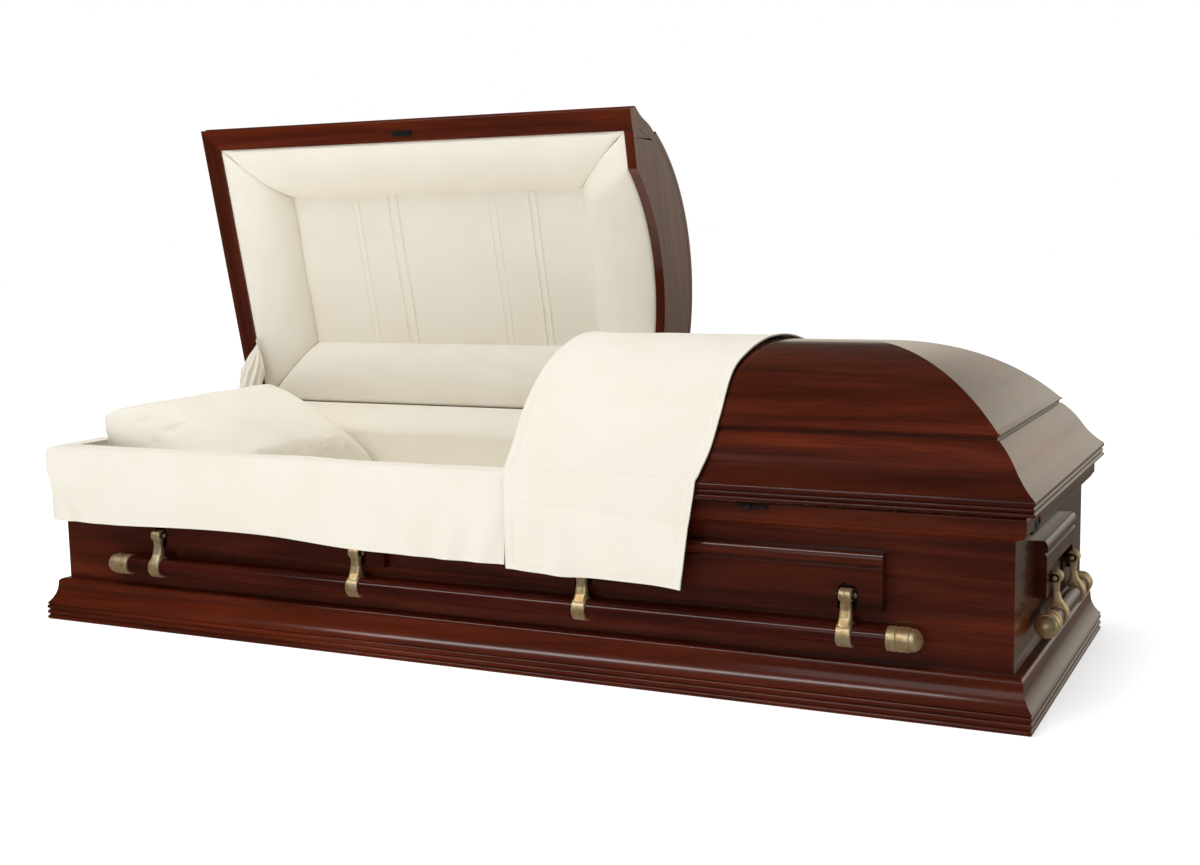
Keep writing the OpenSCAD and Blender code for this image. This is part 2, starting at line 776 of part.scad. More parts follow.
foot_lid_lining();
foot_lid_hinge_leaves();
throw();
bar("front");  // front_bar
bar_brass("front");  // front_bar_brass
bar("back");  // back_bar
bar_brass("back");  // back_bar_brass
bar("head");  // head_bar
bar_brass("head");  // head_bar_brass
bar("foot");  // foot_bar
bar_brass("foot");  // foot_bar_brass
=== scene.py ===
"""Half-couch wooden casket: a moulded hardwood box, two domed lids, swing-bar handles, a cloth interior.

All sizes are in metres. X runs from the head end to the foot end, -Y is the front and Z is up.
"""
import json
import logging
import math
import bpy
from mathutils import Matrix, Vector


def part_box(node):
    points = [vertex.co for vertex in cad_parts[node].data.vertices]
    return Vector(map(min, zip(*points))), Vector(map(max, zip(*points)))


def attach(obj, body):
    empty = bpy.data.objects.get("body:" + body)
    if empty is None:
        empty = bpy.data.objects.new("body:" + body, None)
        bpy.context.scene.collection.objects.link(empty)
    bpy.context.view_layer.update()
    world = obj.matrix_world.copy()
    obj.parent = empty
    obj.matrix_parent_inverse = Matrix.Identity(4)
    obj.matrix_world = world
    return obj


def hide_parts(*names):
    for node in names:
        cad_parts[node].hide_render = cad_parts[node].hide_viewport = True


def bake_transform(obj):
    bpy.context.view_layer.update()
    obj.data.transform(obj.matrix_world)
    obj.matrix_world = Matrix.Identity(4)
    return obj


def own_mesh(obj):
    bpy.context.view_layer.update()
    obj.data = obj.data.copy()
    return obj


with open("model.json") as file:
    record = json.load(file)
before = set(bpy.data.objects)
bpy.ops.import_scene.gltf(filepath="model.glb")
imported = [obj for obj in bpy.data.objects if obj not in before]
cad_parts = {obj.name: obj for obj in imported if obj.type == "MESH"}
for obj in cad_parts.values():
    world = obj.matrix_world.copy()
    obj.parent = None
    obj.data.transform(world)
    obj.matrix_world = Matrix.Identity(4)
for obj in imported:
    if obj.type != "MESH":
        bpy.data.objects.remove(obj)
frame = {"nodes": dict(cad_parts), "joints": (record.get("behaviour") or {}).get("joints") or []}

import zlib
from collections.abc import Callable, Sequence
from dataclasses import dataclass, field
from enum import Enum

import bmesh
import bpy
import numpy as np
from mathutils import Matrix, Vector

LOG = logging.getLogger("casket")
# Sections are drawn in millimetres and scaled by MM; PER_M takes a size in metres to millimetres.
MM = 0.001
PER_M = 1000
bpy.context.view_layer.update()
# Edges that turn by more than these degrees stay sharp.
BOARD_EDGE = 34.0
BENT_EDGE = 30.0
SOFT_EDGE = 50.0

# ------------------------------------------------------------------ shared sizes


@dataclass(frozen=True)
class Sizes:
    """Sizes that several pieces share, in metres."""

    half_l: float = 1.067
    half_w: float = 0.3725
    side_h: float = 0.355
    bottom_t: float = 0.012
    board_t: float = 0.019
    board_in: float = 0.038
    plank_joint: float = 0.1765
    rim_top: float = 0.389
    dome_z: float = 0.480
    dome_in: float = 0.0725
    dome_h: float = 0.134
    dome_t: float = 0.012
    arch_z: float = 0.364
    header_t: float = 0.022
    head_cut: float = 0.0975
    foot_cut: float = 0.1005
    cap_z: float = 0.440
    cap_in: float = 0.186
    bed_z: float = 0.230
    side_arms: tuple[float, ...] = (-0.7515, -0.2495, 0.2495, 0.7515)
    end_arms: tuple[float, ...] = (-0.092, 0.092)

    @property
    def crown_r(self) -> float:
        """Radius of the dome: half its width w and its rise h give (w^2 + h^2) / 2h."""
        half = self.half_w - self.dome_in
        return (half * half + self.dome_h ** 2) / (2 * self.dome_h)

    @property
    def crown_z(self) -> float:
        """Height of the dome arc's centre."""
        return self.dome_z + self.dome_h - self.crown_r

    @property
    def neck_in(self) -> float:
        """Inset of the inner wall where it meets the dome."""
        inner = self.crown_r - self.dome_t
        return self.half_w - math.sqrt(inner ** 2 - (self.dome_z - self.crown_z) ** 2)


S = Sizes()


class Grain(Enum):
    """Order of the axes that puts the grain's direction first."""

    LONG = (0, 2, 1)
    CROSS = (1, 2, 0)


class Side(Enum):
    """A side of the casket; the value is (axis along it, sign of the outward direction)."""

    FRONT = ("x", -1)
    BACK = ("x", 1)
    HEAD = ("y", -1)
    FOOT = ("y", 1)

    @property
    def label(self) -> str:
        """The side's name as the pieces' names have it."""
        return self.name.lower()

    @property
    def is_long(self) -> bool:
        """True for the front and the back."""
        return self.value[0] == "x"

    @property
    def grain(self) -> Grain:
        """The grain of a board that runs along this side."""
        return Grain.LONG if self.is_long else Grain.CROSS

    def reach(self, inset: float | np.ndarray) -> float | np.ndarray:
        """Half the length of this side at an inset from the plinth's outer face."""
        return (S.half_l if self.is_long else S.half_w) - inset

    def place(self, along: np.ndarray, inset: np.ndarray, up: np.ndarray) -> np.ndarray:
        """Points from the distance along the side, the inset from the plinth's outer face and the height."""
        along, inset, up = np.broadcast_arrays(along, inset, up)
        if self.is_long:
            return np.stack([along, self.value[1] * (S.half_w - inset), up], -1)
        return np.stack([self.value[1] * (S.half_l - inset), along, up], -1)


# ------------------------------------------------------------------ mesh helpers


def build(name: str, points: np.ndarray, faces: Sequence, sharp: float = BOARD_EDGE) -> bpy.types.Object:
    """Makes a closed mesh with outward faces that shades smooth below an angle.

    Args:
        name: the piece's name.
        points: vertex positions, any shape ending in 3.
        faces: vertex indices of each face.
        sharp: edges that turn by more than this many degrees stay sharp.

    Returns:
        The new object, at the origin.
    """
    mesh = bpy.data.meshes.new(name)
    mesh.from_pydata(np.asarray(points, float).reshape(-1, 3).tolist(), [], [list(f) for f in faces])
    work = bmesh.new()
    work.from_mesh(mesh)
    bmesh.ops.remove_doubles(work, verts=work.verts, dist=2e-6)
    bmesh.ops.recalc_face_normals(work, faces=work.faces)
    if work.calc_volume(signed=True) < 0:
        bmesh.ops.reverse_faces(work, faces=work.faces)
    work.to_mesh(mesh)
    work.free()
    smooth(mesh, sharp)
    obj = bpy.data.objects.new(name, mesh)
    bpy.context.scene.collection.objects.link(obj)
    return obj


def smooth(mesh: bpy.types.Mesh, sharp: float) -> None:
    """Shades a mesh smooth, with edges over the given angle in degrees left sharp."""
    mesh.polygons.foreach_set("use_smooth", np.ones(len(mesh.polygons), bool))
    mesh.set_sharp_from_angle(angle=math.radians(sharp))
    mesh.update()


def positions(mesh: bpy.types.Mesh) -> np.ndarray:
    """The mesh's vertex positions as an n by 3 array."""
    co = np.empty(len(mesh.vertices) * 3, np.float32)
    mesh.vertices.foreach_get("co", co)
    return co.reshape(-1, 3).astype(float)


def quads(rows: int, cols: int, start: int = 0, wrap: bool = False) -> np.ndarray:
    """Faces of a grid of points; wrap closes it along its rows' direction."""
    i = np.arange(rows if wrap else rows - 1)[:, None]
    j = np.arange(cols - 1)[None, :]
    k = (i + 1) % rows
    near, far = i * cols + j, k * cols + j
    return start + np.stack([near, near + 1, far + 1, far], -1).reshape(-1, 4)


def prism(name: str, first: np.ndarray, last: np.ndarray) -> bpy.types.Object:
    """A solid between two closed outlines with the same number of points."""
    n = len(first)
    side = np.arange(n)
    turn = (side + 1) % n
    walls = np.stack([side, turn, turn + n, side + n], -1)
    faces = [*walls.tolist(), side.tolist(), (side[::-1] + n).tolist()]
    return build(name, np.concatenate([first, last]), faces)


def shell(name: str, outer: np.ndarray, inner: np.ndarray, wrap: bool = False,
          sharp: float = SOFT_EDGE) -> bpy.types.Object:
    """A closed wall between two grids of points, joined along their open edges."""
    rows, cols = outer.shape[:2]
    total = rows * cols
    index = np.arange(total).reshape(rows, cols)
    rims = [index[:, 0], index[:, -1]]
    if not wrap:
        rims += [index[0], index[-1]]
    faces = [quads(rows, cols, 0, wrap), quads(rows, cols, total, wrap)[:, ::-1]]
    for rim in rims:
        ring = np.append(rim, rim[0]) if wrap else rim
        faces.append(np.stack([ring[:-1], ring[1:], ring[1:] + total, ring[:-1] + total], -1))
    return build(name, np.concatenate([outer.reshape(-1, 3), inner.reshape(-1, 3)]),
                 np.concatenate(faces).tolist(), sharp)


def arc(p: tuple[float, float], q: tuple[float, float], turn: float, n: int) -> np.ndarray:
    """Points along a circular arc from p to q that turns left by the given degrees on the way."""
    p, q, turn = np.array(p, float), np.array(q, float), math.radians(turn)
    chord = q - p
    radius = np.hypot(*chord) / (2 * math.sin(turn / 2))
    start = math.atan2(chord[1], chord[0]) - turn / 2
    a = start + turn * np.linspace(0, 1, n + 1)
    return p + radius * np.stack([np.sin(a) - math.sin(start), math.cos(start) - np.cos(a)], -1)


def line(*points: tuple) -> np.ndarray:
    """Corners given as (a, b) or (a, b, cut), where cut is how far from the corner its rounding starts."""
    return np.array([(*p, 0.0) if len(p) == 2 else p for p in points], float)


def outline(*parts: np.ndarray, steps: int = 4) -> np.ndarray:
    """Joins parts into one closed outline and rounds its corners.

    Each corner P with a cut c becomes the curve (1-t)^2 A + 2t(1-t) P + t^2 B, where A and B are
    the points on its two sides at distance c from P.
    """
    full = np.concatenate([p if p.shape[1] == 3 else np.pad(p, ((0, 0), (0, 1))) for p in parts])
    p, cut = full[:, :2], full[:, 2:3]
    back, ahead = np.roll(p, 1, 0) - p, np.roll(p, -1, 0) - p
    back /= np.maximum(np.linalg.norm(back, axis=1, keepdims=True), 1e-9)
    ahead /= np.maximum(np.linalg.norm(ahead, axis=1, keepdims=True), 1e-9)
    t = np.linspace(0, 1, steps + 1)[None, :, None]
    a, b = (p + back * cut)[:, None], (p + ahead * cut)[:, None]
    curve = (1 - t) ** 2 * a + 2 * t * (1 - t) * p[:, None] + t ** 2 * b
    keep = np.where(cut[:, 0] > 0, steps + 1, 1)
    return curve[np.arange(steps + 1)[None] < keep[:, None]]


def lathe(name: str, profile: np.ndarray, centre: Sequence[float], axis: str) -> bpy.types.Object:
    """Turns a closed profile of (radius, distance along the axis) round an axis through centre."""
    around = 64
    angle = np.linspace(0, 2 * np.pi, around, endpoint=False)[:, None]
    r, d = profile[None, :, 0], profile[None, :, 1]
    a, b, c = np.broadcast_arrays(r * np.cos(angle), r * np.sin(angle), d + 0 * angle)
    order = {"x": (c, a, b), "y": (b, c, a)}[axis]
    points = np.stack(order, -1) + np.array(centre)
    ring = np.concatenate([points, points[:, :1]], 1)
    return build(name, ring, quads(around, profile.shape[0] + 1, 0, True).tolist())


def joined(name: str, parts: list[bpy.types.Object]) -> bpy.types.Object:
    """Merges several new objects into one mesh object with the given name."""
    work = bmesh.new()
    for part in parts:
        work.from_mesh(part.data)
    mesh = bpy.data.meshes.new(name)
    work.to_mesh(mesh)
    work.free()
    for part in parts:
        old = part.data
        bpy.data.objects.remove(part)
        bpy.data.meshes.remove(old)
    obj = bpy.data.objects.new(name, mesh)
    bpy.context.scene.collection.objects.link(obj)
    return obj


def wobble(u: np.ndarray, v: np.ndarray, seed: int) -> np.ndarray:
    """A smooth uneven surface: the sum of sine waves in random directions over the root of their number."""
    waves = 7
    rng = np.random.default_rng(seed)
    a, b, c = rng.uniform(-6, 6, waves), rng.uniform(-6, 6, waves), rng.uniform(0, 6.28, waves)
    return np.sin(u[..., None] * a + v[..., None] * b + c).sum(-1) / math.sqrt(waves)


# ------------------------------------------------------------------ finishes


def linear(code: str) -> tuple[float, float, float, float]:
    """A linear colour from an sRGB hex code."""
    parts = [int(code[i:i + 2], 16) / 255 for i in (1, 3, 5)]
    return (*[c / 12.92 if c <= 0.04045 else ((c + 0.055) / 1.055) ** 2.4 for c in parts], 1.0)


def add_node(tree: bpy.types.NodeTree, kind: str, values: dict | None = None, links: dict | None = None,
             **settings: object) -> bpy.types.Node:
    """Adds a node, sets its properties and input values, and links its inputs from other sockets."""
    node = tree.nodes.new(kind)
    for key, value in settings.items():
        setattr(node, key, value)
    for key, value in (values or {}).items():
        node.inputs[key].default_value = value
    for key, socket in (links or {}).items():
        tree.links.new(socket, node.inputs[key])
    return node


def blank(name: str) -> tuple[bpy.types.Material, bpy.types.NodeTree, bpy.types.Node]:
    """A new material with a Principled shader linked to its output."""
    material = bpy.data.materials.new(name)
    material.use_nodes = True
    tree = material.node_tree
    tree.nodes.clear()
    shader = add_node(tree, "ShaderNodeBsdfPrincipled")
    add_node(tree, "ShaderNodeOutputMaterial", links={"Surface": shader.outputs[0]})
    return material, tree, shader


def ramp(tree: bpy.types.NodeTree, factor: bpy.types.NodeSocket,
         stops: Sequence[tuple[float, str]]) -> bpy.types.NodeSocket:
    """Colours from a factor, by stops of (place, sRGB hex)."""
    node = add_node(tree, "ShaderNodeValToRGB", links={"Fac": factor})
    band = node.color_ramp.elements
    while len(band) < len(stops):
        band.new(0.5)
    for element, (place, code) in zip(band, stops):
        element.position = place
        element.color = linear(code)
    return node.outputs["Color"]


class Coordinates(Enum):
    """Where a pattern's coordinates come from."""

    BOARD = "grain"
    OBJECT = "object"


@dataclass(frozen=True)
class LacqueredMahogany:
    """Mahogany stained red-brown under several coats of semi-gloss lacquer.

    The eye sees long dark streaks in a warm ground, short fine pores, and a clear even gloss.
    """

    name: str = "lacquered_mahogany"
    dark: str = "#2b0d04"
    middle: str = "#4f1a08"
    light: str = "#702c10"
    coordinates: Coordinates = Coordinates.BOARD
    roughness: float = 0.30
    coat: float = 0.9

    def make(self) -> bpy.types.Material:
        """Builds the material."""
        material, tree, shader = blank(self.name)
        if self.coordinates is Coordinates.BOARD:
            place = add_node(tree, "ShaderNodeAttribute", attribute_name="grain").outputs["Vector"]
        else:
            place = add_node(tree, "ShaderNodeTexCoord").outputs["Object"]
        # Streaks about 40 mm wide and three quarters of a metre long, then fine lines about 4 mm wide.
        figure = self.noise(tree, place, (1.3, 24.0, 24.0), 4.0, 0.55, 0.9)
        lines = self.noise(tree, place, (7.0, 260.0, 260.0), 3.0, 0.6, 0.3)
        cloud = self.noise(tree, place, (1.6, 7.0, 7.0), 2.0, 0.5, 0.4)
        # Pores are well under a millimetre wide and are drawn about 1 mm wide to show at all.
        pores = self.noise(tree, place, (40.0, 900.0, 900.0), 1.0, 0.5, 0.0)
        colour = ramp(tree, figure, [(0.22, self.dark), (0.52, self.middle), (0.84, self.light)])
        shaded = self.scaled(tree, colour, lines, 0.34, 0.66, 0.84, 1.12)
        shaded = self.scaled(tree, shaded, cloud, 0.32, 0.68, 0.78, 1.20)
        shaded = self.scaled(tree, shaded, pores, 0.30, 0.42, 0.72, 1.0)
        tone = add_node(tree, "ShaderNodeAttribute", attribute_name="tone").outputs["Fac"]
        lift = add_node(tree, "ShaderNodeMath", {1: 1.0}, {0: tone}, operation="ADD").outputs[0]
        final = add_node(tree, "ShaderNodeVectorMath", links={0: shaded, 3: lift},
                         operation="SCALE").outputs[0]
        tree.links.new(final, shader.inputs["Base Color"])
        gloss = {"To Min": self.roughness - 0.05, "To Max": self.roughness + 0.08}
        sheen = add_node(tree, "ShaderNodeMapRange", gloss, {"Value": cloud}).outputs[0]
        tree.links.new(sheen, shader.inputs["Roughness"])
        bump = add_node(tree, "ShaderNodeBump", {"Strength": 0.05, "Distance": 0.0004}, {"Height": lines})
        tree.links.new(bump.outputs[0], shader.inputs["Normal"])
        shader.inputs["Coat Weight"].default_value = self.coat
        shader.inputs["Coat Roughness"].default_value = 0.13
        shader.inputs["Specular IOR Level"].default_value = 0.12
        return material

    @staticmethod
    def noise(tree: bpy.types.NodeTree, place: bpy.types.NodeSocket, scale: tuple, detail: float,
              rough: float, bend: float) -> bpy.types.NodeSocket:
        """Noise stretched along the grain; scale is in features per metre on each axis."""
        spread = add_node(tree, "ShaderNodeMapping", {"Scale": scale}, {"Vector": place})
        values = {"Scale": 1.0, "Detail": detail, "Roughness": rough, "Distortion": bend}
        return add_node(tree, "ShaderNodeTexNoise", values, {"Vector": spread.outputs[0]}).outputs["Fac"]

    @staticmethod
    def scaled(tree: bpy.types.NodeTree, colour: bpy.types.NodeSocket, factor: bpy.types.NodeSocket,
               low: float, high: float, least: float, most: float) -> bpy.types.NodeSocket:
        """Multiplies a colour by a factor mapped from low..high to least..most."""
        span = {"From Min": low, "From Max": high, "To Min": least, "To Max": most}
        amount = add_node(tree, "ShaderNodeMapRange", span, {"Value": factor}).outputs[0]
        return add_node(tree, "ShaderNodeVectorMath", links={0: colour, 3: amount},
                        operation="SCALE").outputs[0]


@dataclass(frozen=True)
class IvoryCrepe:
    """Ivory crepe over soft padding: a matte cloth with a fine pebbled weave and a faint warm nap."""

    name: str = "ivory_crepe"
    colour: str = "#f3eee1"
    shade: str = "#f1ebdd"

    def make(self) -> bpy.types.Material:
        """Builds the material."""
        material, tree, shader = blank(self.name)
        place = add_node(tree, "ShaderNodeTexCoord").outputs["Object"]
        cloud = add_node(tree, "ShaderNodeTexNoise", {"Scale": 9.0, "Detail": 3.0}, {"Vector": place})
        colour = ramp(tree, cloud.outputs["Fac"], [(0.35, self.shade), (0.62, self.colour)])
        tree.links.new(colour, shader.inputs["Base Color"])
        # Crepe threads are about 0.4 mm apart; the weave is drawn at 1.1 mm so that it shows.
        weave = add_node(tree, "ShaderNodeTexNoise", {"Scale": 900.0, "Detail": 2.0}, {"Vector": place})
        pucker = add_node(tree, "ShaderNodeTexNoise", {"Scale": 60.0, "Detail": 3.0}, {"Vector": place})
        both = add_node(tree, "ShaderNodeMath", {1: 2.0}, {0: pucker.outputs["Fac"], 2: weave.outputs["Fac"]},
                        operation="MULTIPLY_ADD").outputs[0]
        bump = add_node(tree, "ShaderNodeBump", {"Strength": 0.30, "Distance": 0.0008}, {"Height": both})
        tree.links.new(bump.outputs[0], shader.inputs["Normal"])
        shader.inputs["Roughness"].default_value = 0.92
        shader.inputs["Sheen Weight"].default_value = 0.12
        shader.inputs["Sheen Roughness"].default_value = 0.5
        shader.inputs["Specular IOR Level"].default_value = 0.25
        return material


@dataclass(frozen=True)
class AntiqueMetal:
    """Cast brass, brushed and darkened, in soft random clouds of lighter and darker metal.

    The eye sees a soft yellow-brown metal with short brush lines and brown cloudiness.
    """

    name: str = "antique_brass"
    bright: str = "#ffeabf"
    dull: str = "#e6bb7c"
    roughness: float = 0.38
    metallic: float = 0.86
    brush: float = 1.0

    def make(self) -> bpy.types.Material:
        """Builds the material."""
        material, tree, shader = blank(self.name)
        place = add_node(tree, "ShaderNodeTexCoord").outputs["Object"]
        cloud = add_node(tree, "ShaderNodeTexNoise", {"Scale": 55.0, "Detail": 4.0, "Roughness": 0.6},
                         {"Vector": place}).outputs["Fac"]
        # Brush lines are about 0.4 mm apart along X, so they run round the fittings of the long bars.
        spread = add_node(tree, "ShaderNodeMapping", {"Scale": (2600.0, 120.0, 120.0)}, {"Vector": place})
        brushed = add_node(tree, "ShaderNodeTexNoise", {"Scale": 1.0, "Detail": 1.0},
                           {"Vector": spread.outputs[0]}).outputs["Fac"]
        colour = ramp(tree, cloud, [(0.34, self.dull), (0.60, self.bright)])
        tree.links.new(colour, shader.inputs["Base Color"])
        gloss = {"To Min": self.roughness - 0.08, "To Max": self.roughness + 0.14}
        rough = add_node(tree, "ShaderNodeMapRange", gloss, {"Value": brushed}).outputs[0]
        tree.links.new(rough, shader.inputs["Roughness"])
        depth = {"Strength": 0.12 * self.brush, "Distance": 0.0002}
        bump = add_node(tree, "ShaderNodeBump", depth, {"Height": brushed})
        tree.links.new(bump.outputs[0], shader.inputs["Normal"])
        shader.inputs["Metallic"].default_value = self.metallic
        return material


class Slot(Enum):
    """Material slots of the record."""

    WOOD = "wood"
    BAR_WOOD = "bar_wood"
    CLOTH = "cloth"
    BRASS = "brass"
    BRONZE = "bronze"
    BLACK = "black_metal"


class Finishes:
    """Every finish of the casket, made once."""

    def __init__(self) -> None:
        """Makes the materials."""
        self.made = {
            Slot.WOOD: LacqueredMahogany().make(),
            Slot.BAR_WOOD: LacqueredMahogany("dark_bar_lacquer", "#1c0704", "#3d120a", "#5a2011",
                                             roughness=0.24, coat=0.7).make(),
            Slot.CLOTH: IvoryCrepe().make(),
            Slot.BRASS: AntiqueMetal().make(),
            Slot.BRONZE: AntiqueMetal("dark_bronze", "#4a3a26", "#1a130d", 0.38).make(),
            Slot.BLACK: AntiqueMetal("black_lacquered_steel", "#1d1c1c", "#0b0b0b", 0.34, 0.0, 0.0).make(),
        }
        self.plain_wood = LacqueredMahogany("mahogany_underside", "#1d0906", "#3c150b", "#562612",
                                            Coordinates.OBJECT, 0.45, 0.1).make()

    def dress(self, obj: bpy.types.Object, slot: Slot, body: str, *nodes: str) -> bpy.types.Object:
        """Gives a new piece the material of a slot, has it ride a body, and hides the nodes it stands for."""
        obj.data.materials.clear()
        obj.data.materials.append(self.made[slot])
        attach(obj, body)
        if nodes:
            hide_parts(*nodes)
        LOG.info("%s rides %s, %d faces", obj.name, body, len(obj.data.polygons))
        return obj

    def recoat(self, node: str, slot: Slot) -> None:
        """Gives a node of the frame a better material."""
        obj = frame["nodes"][node]
        obj.data.materials.clear()
        obj.data.materials.append(self.made[slot])


def lay_grain(obj: bpy.types.Object, grain: Grain, tone: float = 0.0) -> bpy.types.Object:
    """Stores each point's place in its board, grain direction first, with a shift that differs by board."""
    mesh = obj.data
    rng = np.random.default_rng(zlib.crc32(obj.name.encode()))
    place = positions(mesh)[:, list(grain.value)] + rng.uniform(-4, 4, 3)
    along = mesh.attributes.new("grain", "FLOAT_VECTOR", "POINT")
    along.data.foreach_set("vector", place.astype(np.float32).ravel())
    shade = np.full(len(mesh.vertices), tone, np.float32)
    mesh.attributes.new("tone", "FLOAT", "POINT").data.foreach_set("value", shade)
    return obj


def moulding(name: str, side: Side, section: np.ndarray, start: float | None = None,
             stop: float | None = None, tone: float = 0.0) -> bpy.types.Object:
    """Runs a closed section of (inset, height) along a side, mitred at 45 degrees unless cut off square.

    Args:
        name: the piece's name.
        side: the side it runs along.
        section: closed outline in metres.
        start: where its low end is cut square, or None for a mitre.
        stop: where its high end is cut square, or None for a mitre.
        tone: how much lighter or darker the board is.

    Returns:
        The new object, with its grain laid.
    """
    inset, up = section[:, 0], section[:, 1]
    low = -side.reach(inset) if start is None else start
    high = side.reach(inset) if stop is None else stop
    obj = prism(name, side.place(low, inset, up), side.place(high, inset, up))
    return lay_grain(obj, side.grain, tone)


def reed(z0: float, z1: float, inset: float, turn: float = 150.0) -> np.ndarray:
    """Outline of one rounded reed, in millimetres, that stands out to the given inset."""
    root = inset + (z1 - z0) / 2 * math.tan(math.radians(turn / 4))
    return arc((root, z0), (root, z1), -turn, 10)


# ------------------------------------------------------------------ woodwork


@dataclass
class Box:
    """The casket's body: boards, plinth, rail and raised panels; the reeds' sizes are in millimetres."""

    finishes: Finishes
    reed_pitch: float = 11.6
    reed_h: float = 9.4
    panel_l: float = 0.625
    panel_mid: float = 0.5005
    end_panel_l: float = 0.300
    panel_z: float = 0.179
    panel_h: float = 0.102
    panel_t: float = 0.020
    pocket_floor: float = 0.006
    pocket_top: float = 0.227
    pocket_w: float = 0.0344
    end_pocket_w: float = 0.246
    plate_gap: float = 0.0002
    plate_pocket: float = 0.012

    def build(self) -> None:
        """Makes every wooden piece of the body and recoats the bottom board."""
        for side in Side:
            self.boards(side)
            self.plinth(side)
            self.rail(side)
        for side in (Side.FRONT, Side.BACK):
            for end, at in (("head", -1), ("foot", 1)):
                pockets = [(x, self.pocket_w) for x in S.side_arms if x * at > 0]
                self.panel(f"{side.label}_panel_{end}", side, at * self.panel_mid, self.panel_l, pockets)
        for side in (Side.HEAD, Side.FOOT):
            pockets = [(0.0, self.end_pocket_w)]
            self.panel(f"{side.label}_end_panel", side, 0.0, self.end_panel_l, pockets)
        bottom = frame["nodes"]["bottom_board"]
        bottom.data.materials.clear()
        bottom.data.materials.append(self.finishes.plain_wood)

    def boards(self, side: Side) -> None:
        """Two planks edge to edge on one side, the lower one lighter, with a fine joint between them."""
        a, b, soft = S.board_in, S.board_in + S.board_t, 0.0004
        node = f"{side.label}_board"
        for part, low, high, tone in (("lower", S.bottom_t, S.plank_joint, 0.16),
                                      ("upper", S.plank_joint, S.side_h, -0.18)):
            section = outline(line((a, low, soft), (b, low), (b, high), (a, high, soft)))
            plank = moulding(f"{node}_{part}", side, section, tone=tone)
            self.finishes.dress(plank, Slot.WOOD, "casket", node)

    def plinth(self, side: Side) -> None:
        """Three reeds, a tall cove and a rounded cap along one side."""
        back, cove_z, cap_z, top = S.board_in * PER_M, 3 * self.reed_pitch + 1.2, 80, 90
        reeds = [reed(i * self.reed_pitch, i * self.reed_pitch + self.reed_h, 0) for i in range(3)]
        neck = line((3, cove_z - 2.4), (0.6, cove_z - 1.6, 0.4))
        cove = arc((0.6, cove_z), (18.8, cap_z), 45, 28)
        cap = arc((18.8, cap_z), (27.8, top - 1), -90, 12)[1:]
        section = outline(line((back, 0)), *reeds, neck, cove, cap, line((back, top)), steps=2) * MM
        piece = moulding(f"{side.label}_plinth_moulding", side, section, tone=0.22)
        self.finishes.dress(piece, Slot.WOOD, "casket", f"{side.label}_plinth")

    def rail(self, side: Side) -> None:
        """A flat band with soft edges and a chamfer under it; the foot one has a pocket for the key plate."""
        back, top, tone = S.board_in * PER_M, S.side_h * PER_M, -0.05
        section = outline(line((16.5, 328, 1.2), (20, 325.5, 0.6), (21.5, 320.5, 1.5), (back, 313),
                               (back, top), (18.5, top), (16.5, top - 2, 1.0))) * MM
        name = f"{side.label}_rail"
        piece = moulding(f"{name}_moulding", side, section, tone=tone)
        if side is Side.FOOT:
            low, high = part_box("lock_plate")
            left, right = low.y - self.plate_gap, high.y + self.plate_gap
            under, over = low.z - self.plate_gap, high.z + self.plate_gap
            ends = [np.array([[x, left, under], [x, right, under], [x, right, over], [x, left, over]])
                    for x in (low.x, low.x + self.plate_pocket)]
            carve(piece, prism("key_pocket", *ends))
            lay_again(piece, side.grain, tone)
        self.finishes.dress(piece, Slot.WOOD, "casket", name)

    def panel(self, name: str, side: Side, middle: float, length: float,
              pockets: list[tuple[float, float]]) -> None:
        """A raised panel: a moulded cornice over a flat field, with a round-topped pocket behind each arm.

        Args:
            name: the node it stands for.
            side: the side it is set on.
            middle: its middle along the side.
            length: its length along the side.
            pockets: middle and width of each pocket.
        """
        low, top, t = self.panel_z * PER_M, (self.panel_z + self.panel_h) * PER_M, self.panel_t * PER_M
        field = line((0, low), (t - 1.5, low, 1.0), (t - 1.5, top - 26.5, 0.8), (t - 4.5, top - 25.0, 0.5),
                     (t - 4.5, top - 21.5, 0.5), (t, top - 20.0, 1.0))
        cornice = arc((t, top - 14), (t - 4.5, top - 1), 40, 12)
        out = outline(field, cornice, line((t - 6.5, top, 0.6), (0, top))) * MM
        section = np.stack([S.board_in - out[:, 0], out[:, 1]], -1)
        start, stop, tone = middle - length / 2, middle + length / 2, -0.38
        piece = moulding(f"{name}_moulded", side, section, start, stop, tone)
        for x, width in pockets:
            half, r = width / 2, min(width / 2 - 0.0002, 0.017)
            edge = np.concatenate([[[-half, self.panel_z - 0.001], [half, self.panel_z - 0.001]],
                                   arc((half, self.pocket_top - r), (half - r, self.pocket_top), 90, 10),
                                   arc((r - half, self.pocket_top), (-half, self.pocket_top - r), 90, 10)])
            ends = [side.place(x + edge[:, 0], S.board_in - d, edge[:, 1]) for d in (self.pocket_floor, 0.03)]
            carve(piece, prism("pocket", *ends))
        lay_again(piece, side.grain, tone)
        self.finishes.dress(piece, Slot.WOOD, "casket", name)


def carve(piece: bpy.types.Object, cutter: bpy.types.Object) -> None:
    """Takes the cutter's volume out of a piece and removes the cutter."""
    step = piece.modifiers.new("carve", "BOOLEAN")
    step.operation, step.solver, step.object = "DIFFERENCE", "EXACT", cutter
    bpy.context.view_layer.update()
    carved = bpy.data.meshes.new_from_object(piece.evaluated_get(bpy.context.evaluated_depsgraph_get()))
    piece.modifiers.clear()
    piece.data = carved
    smooth(carved, BOARD_EDGE)
    bpy.data.objects.remove(cutter)


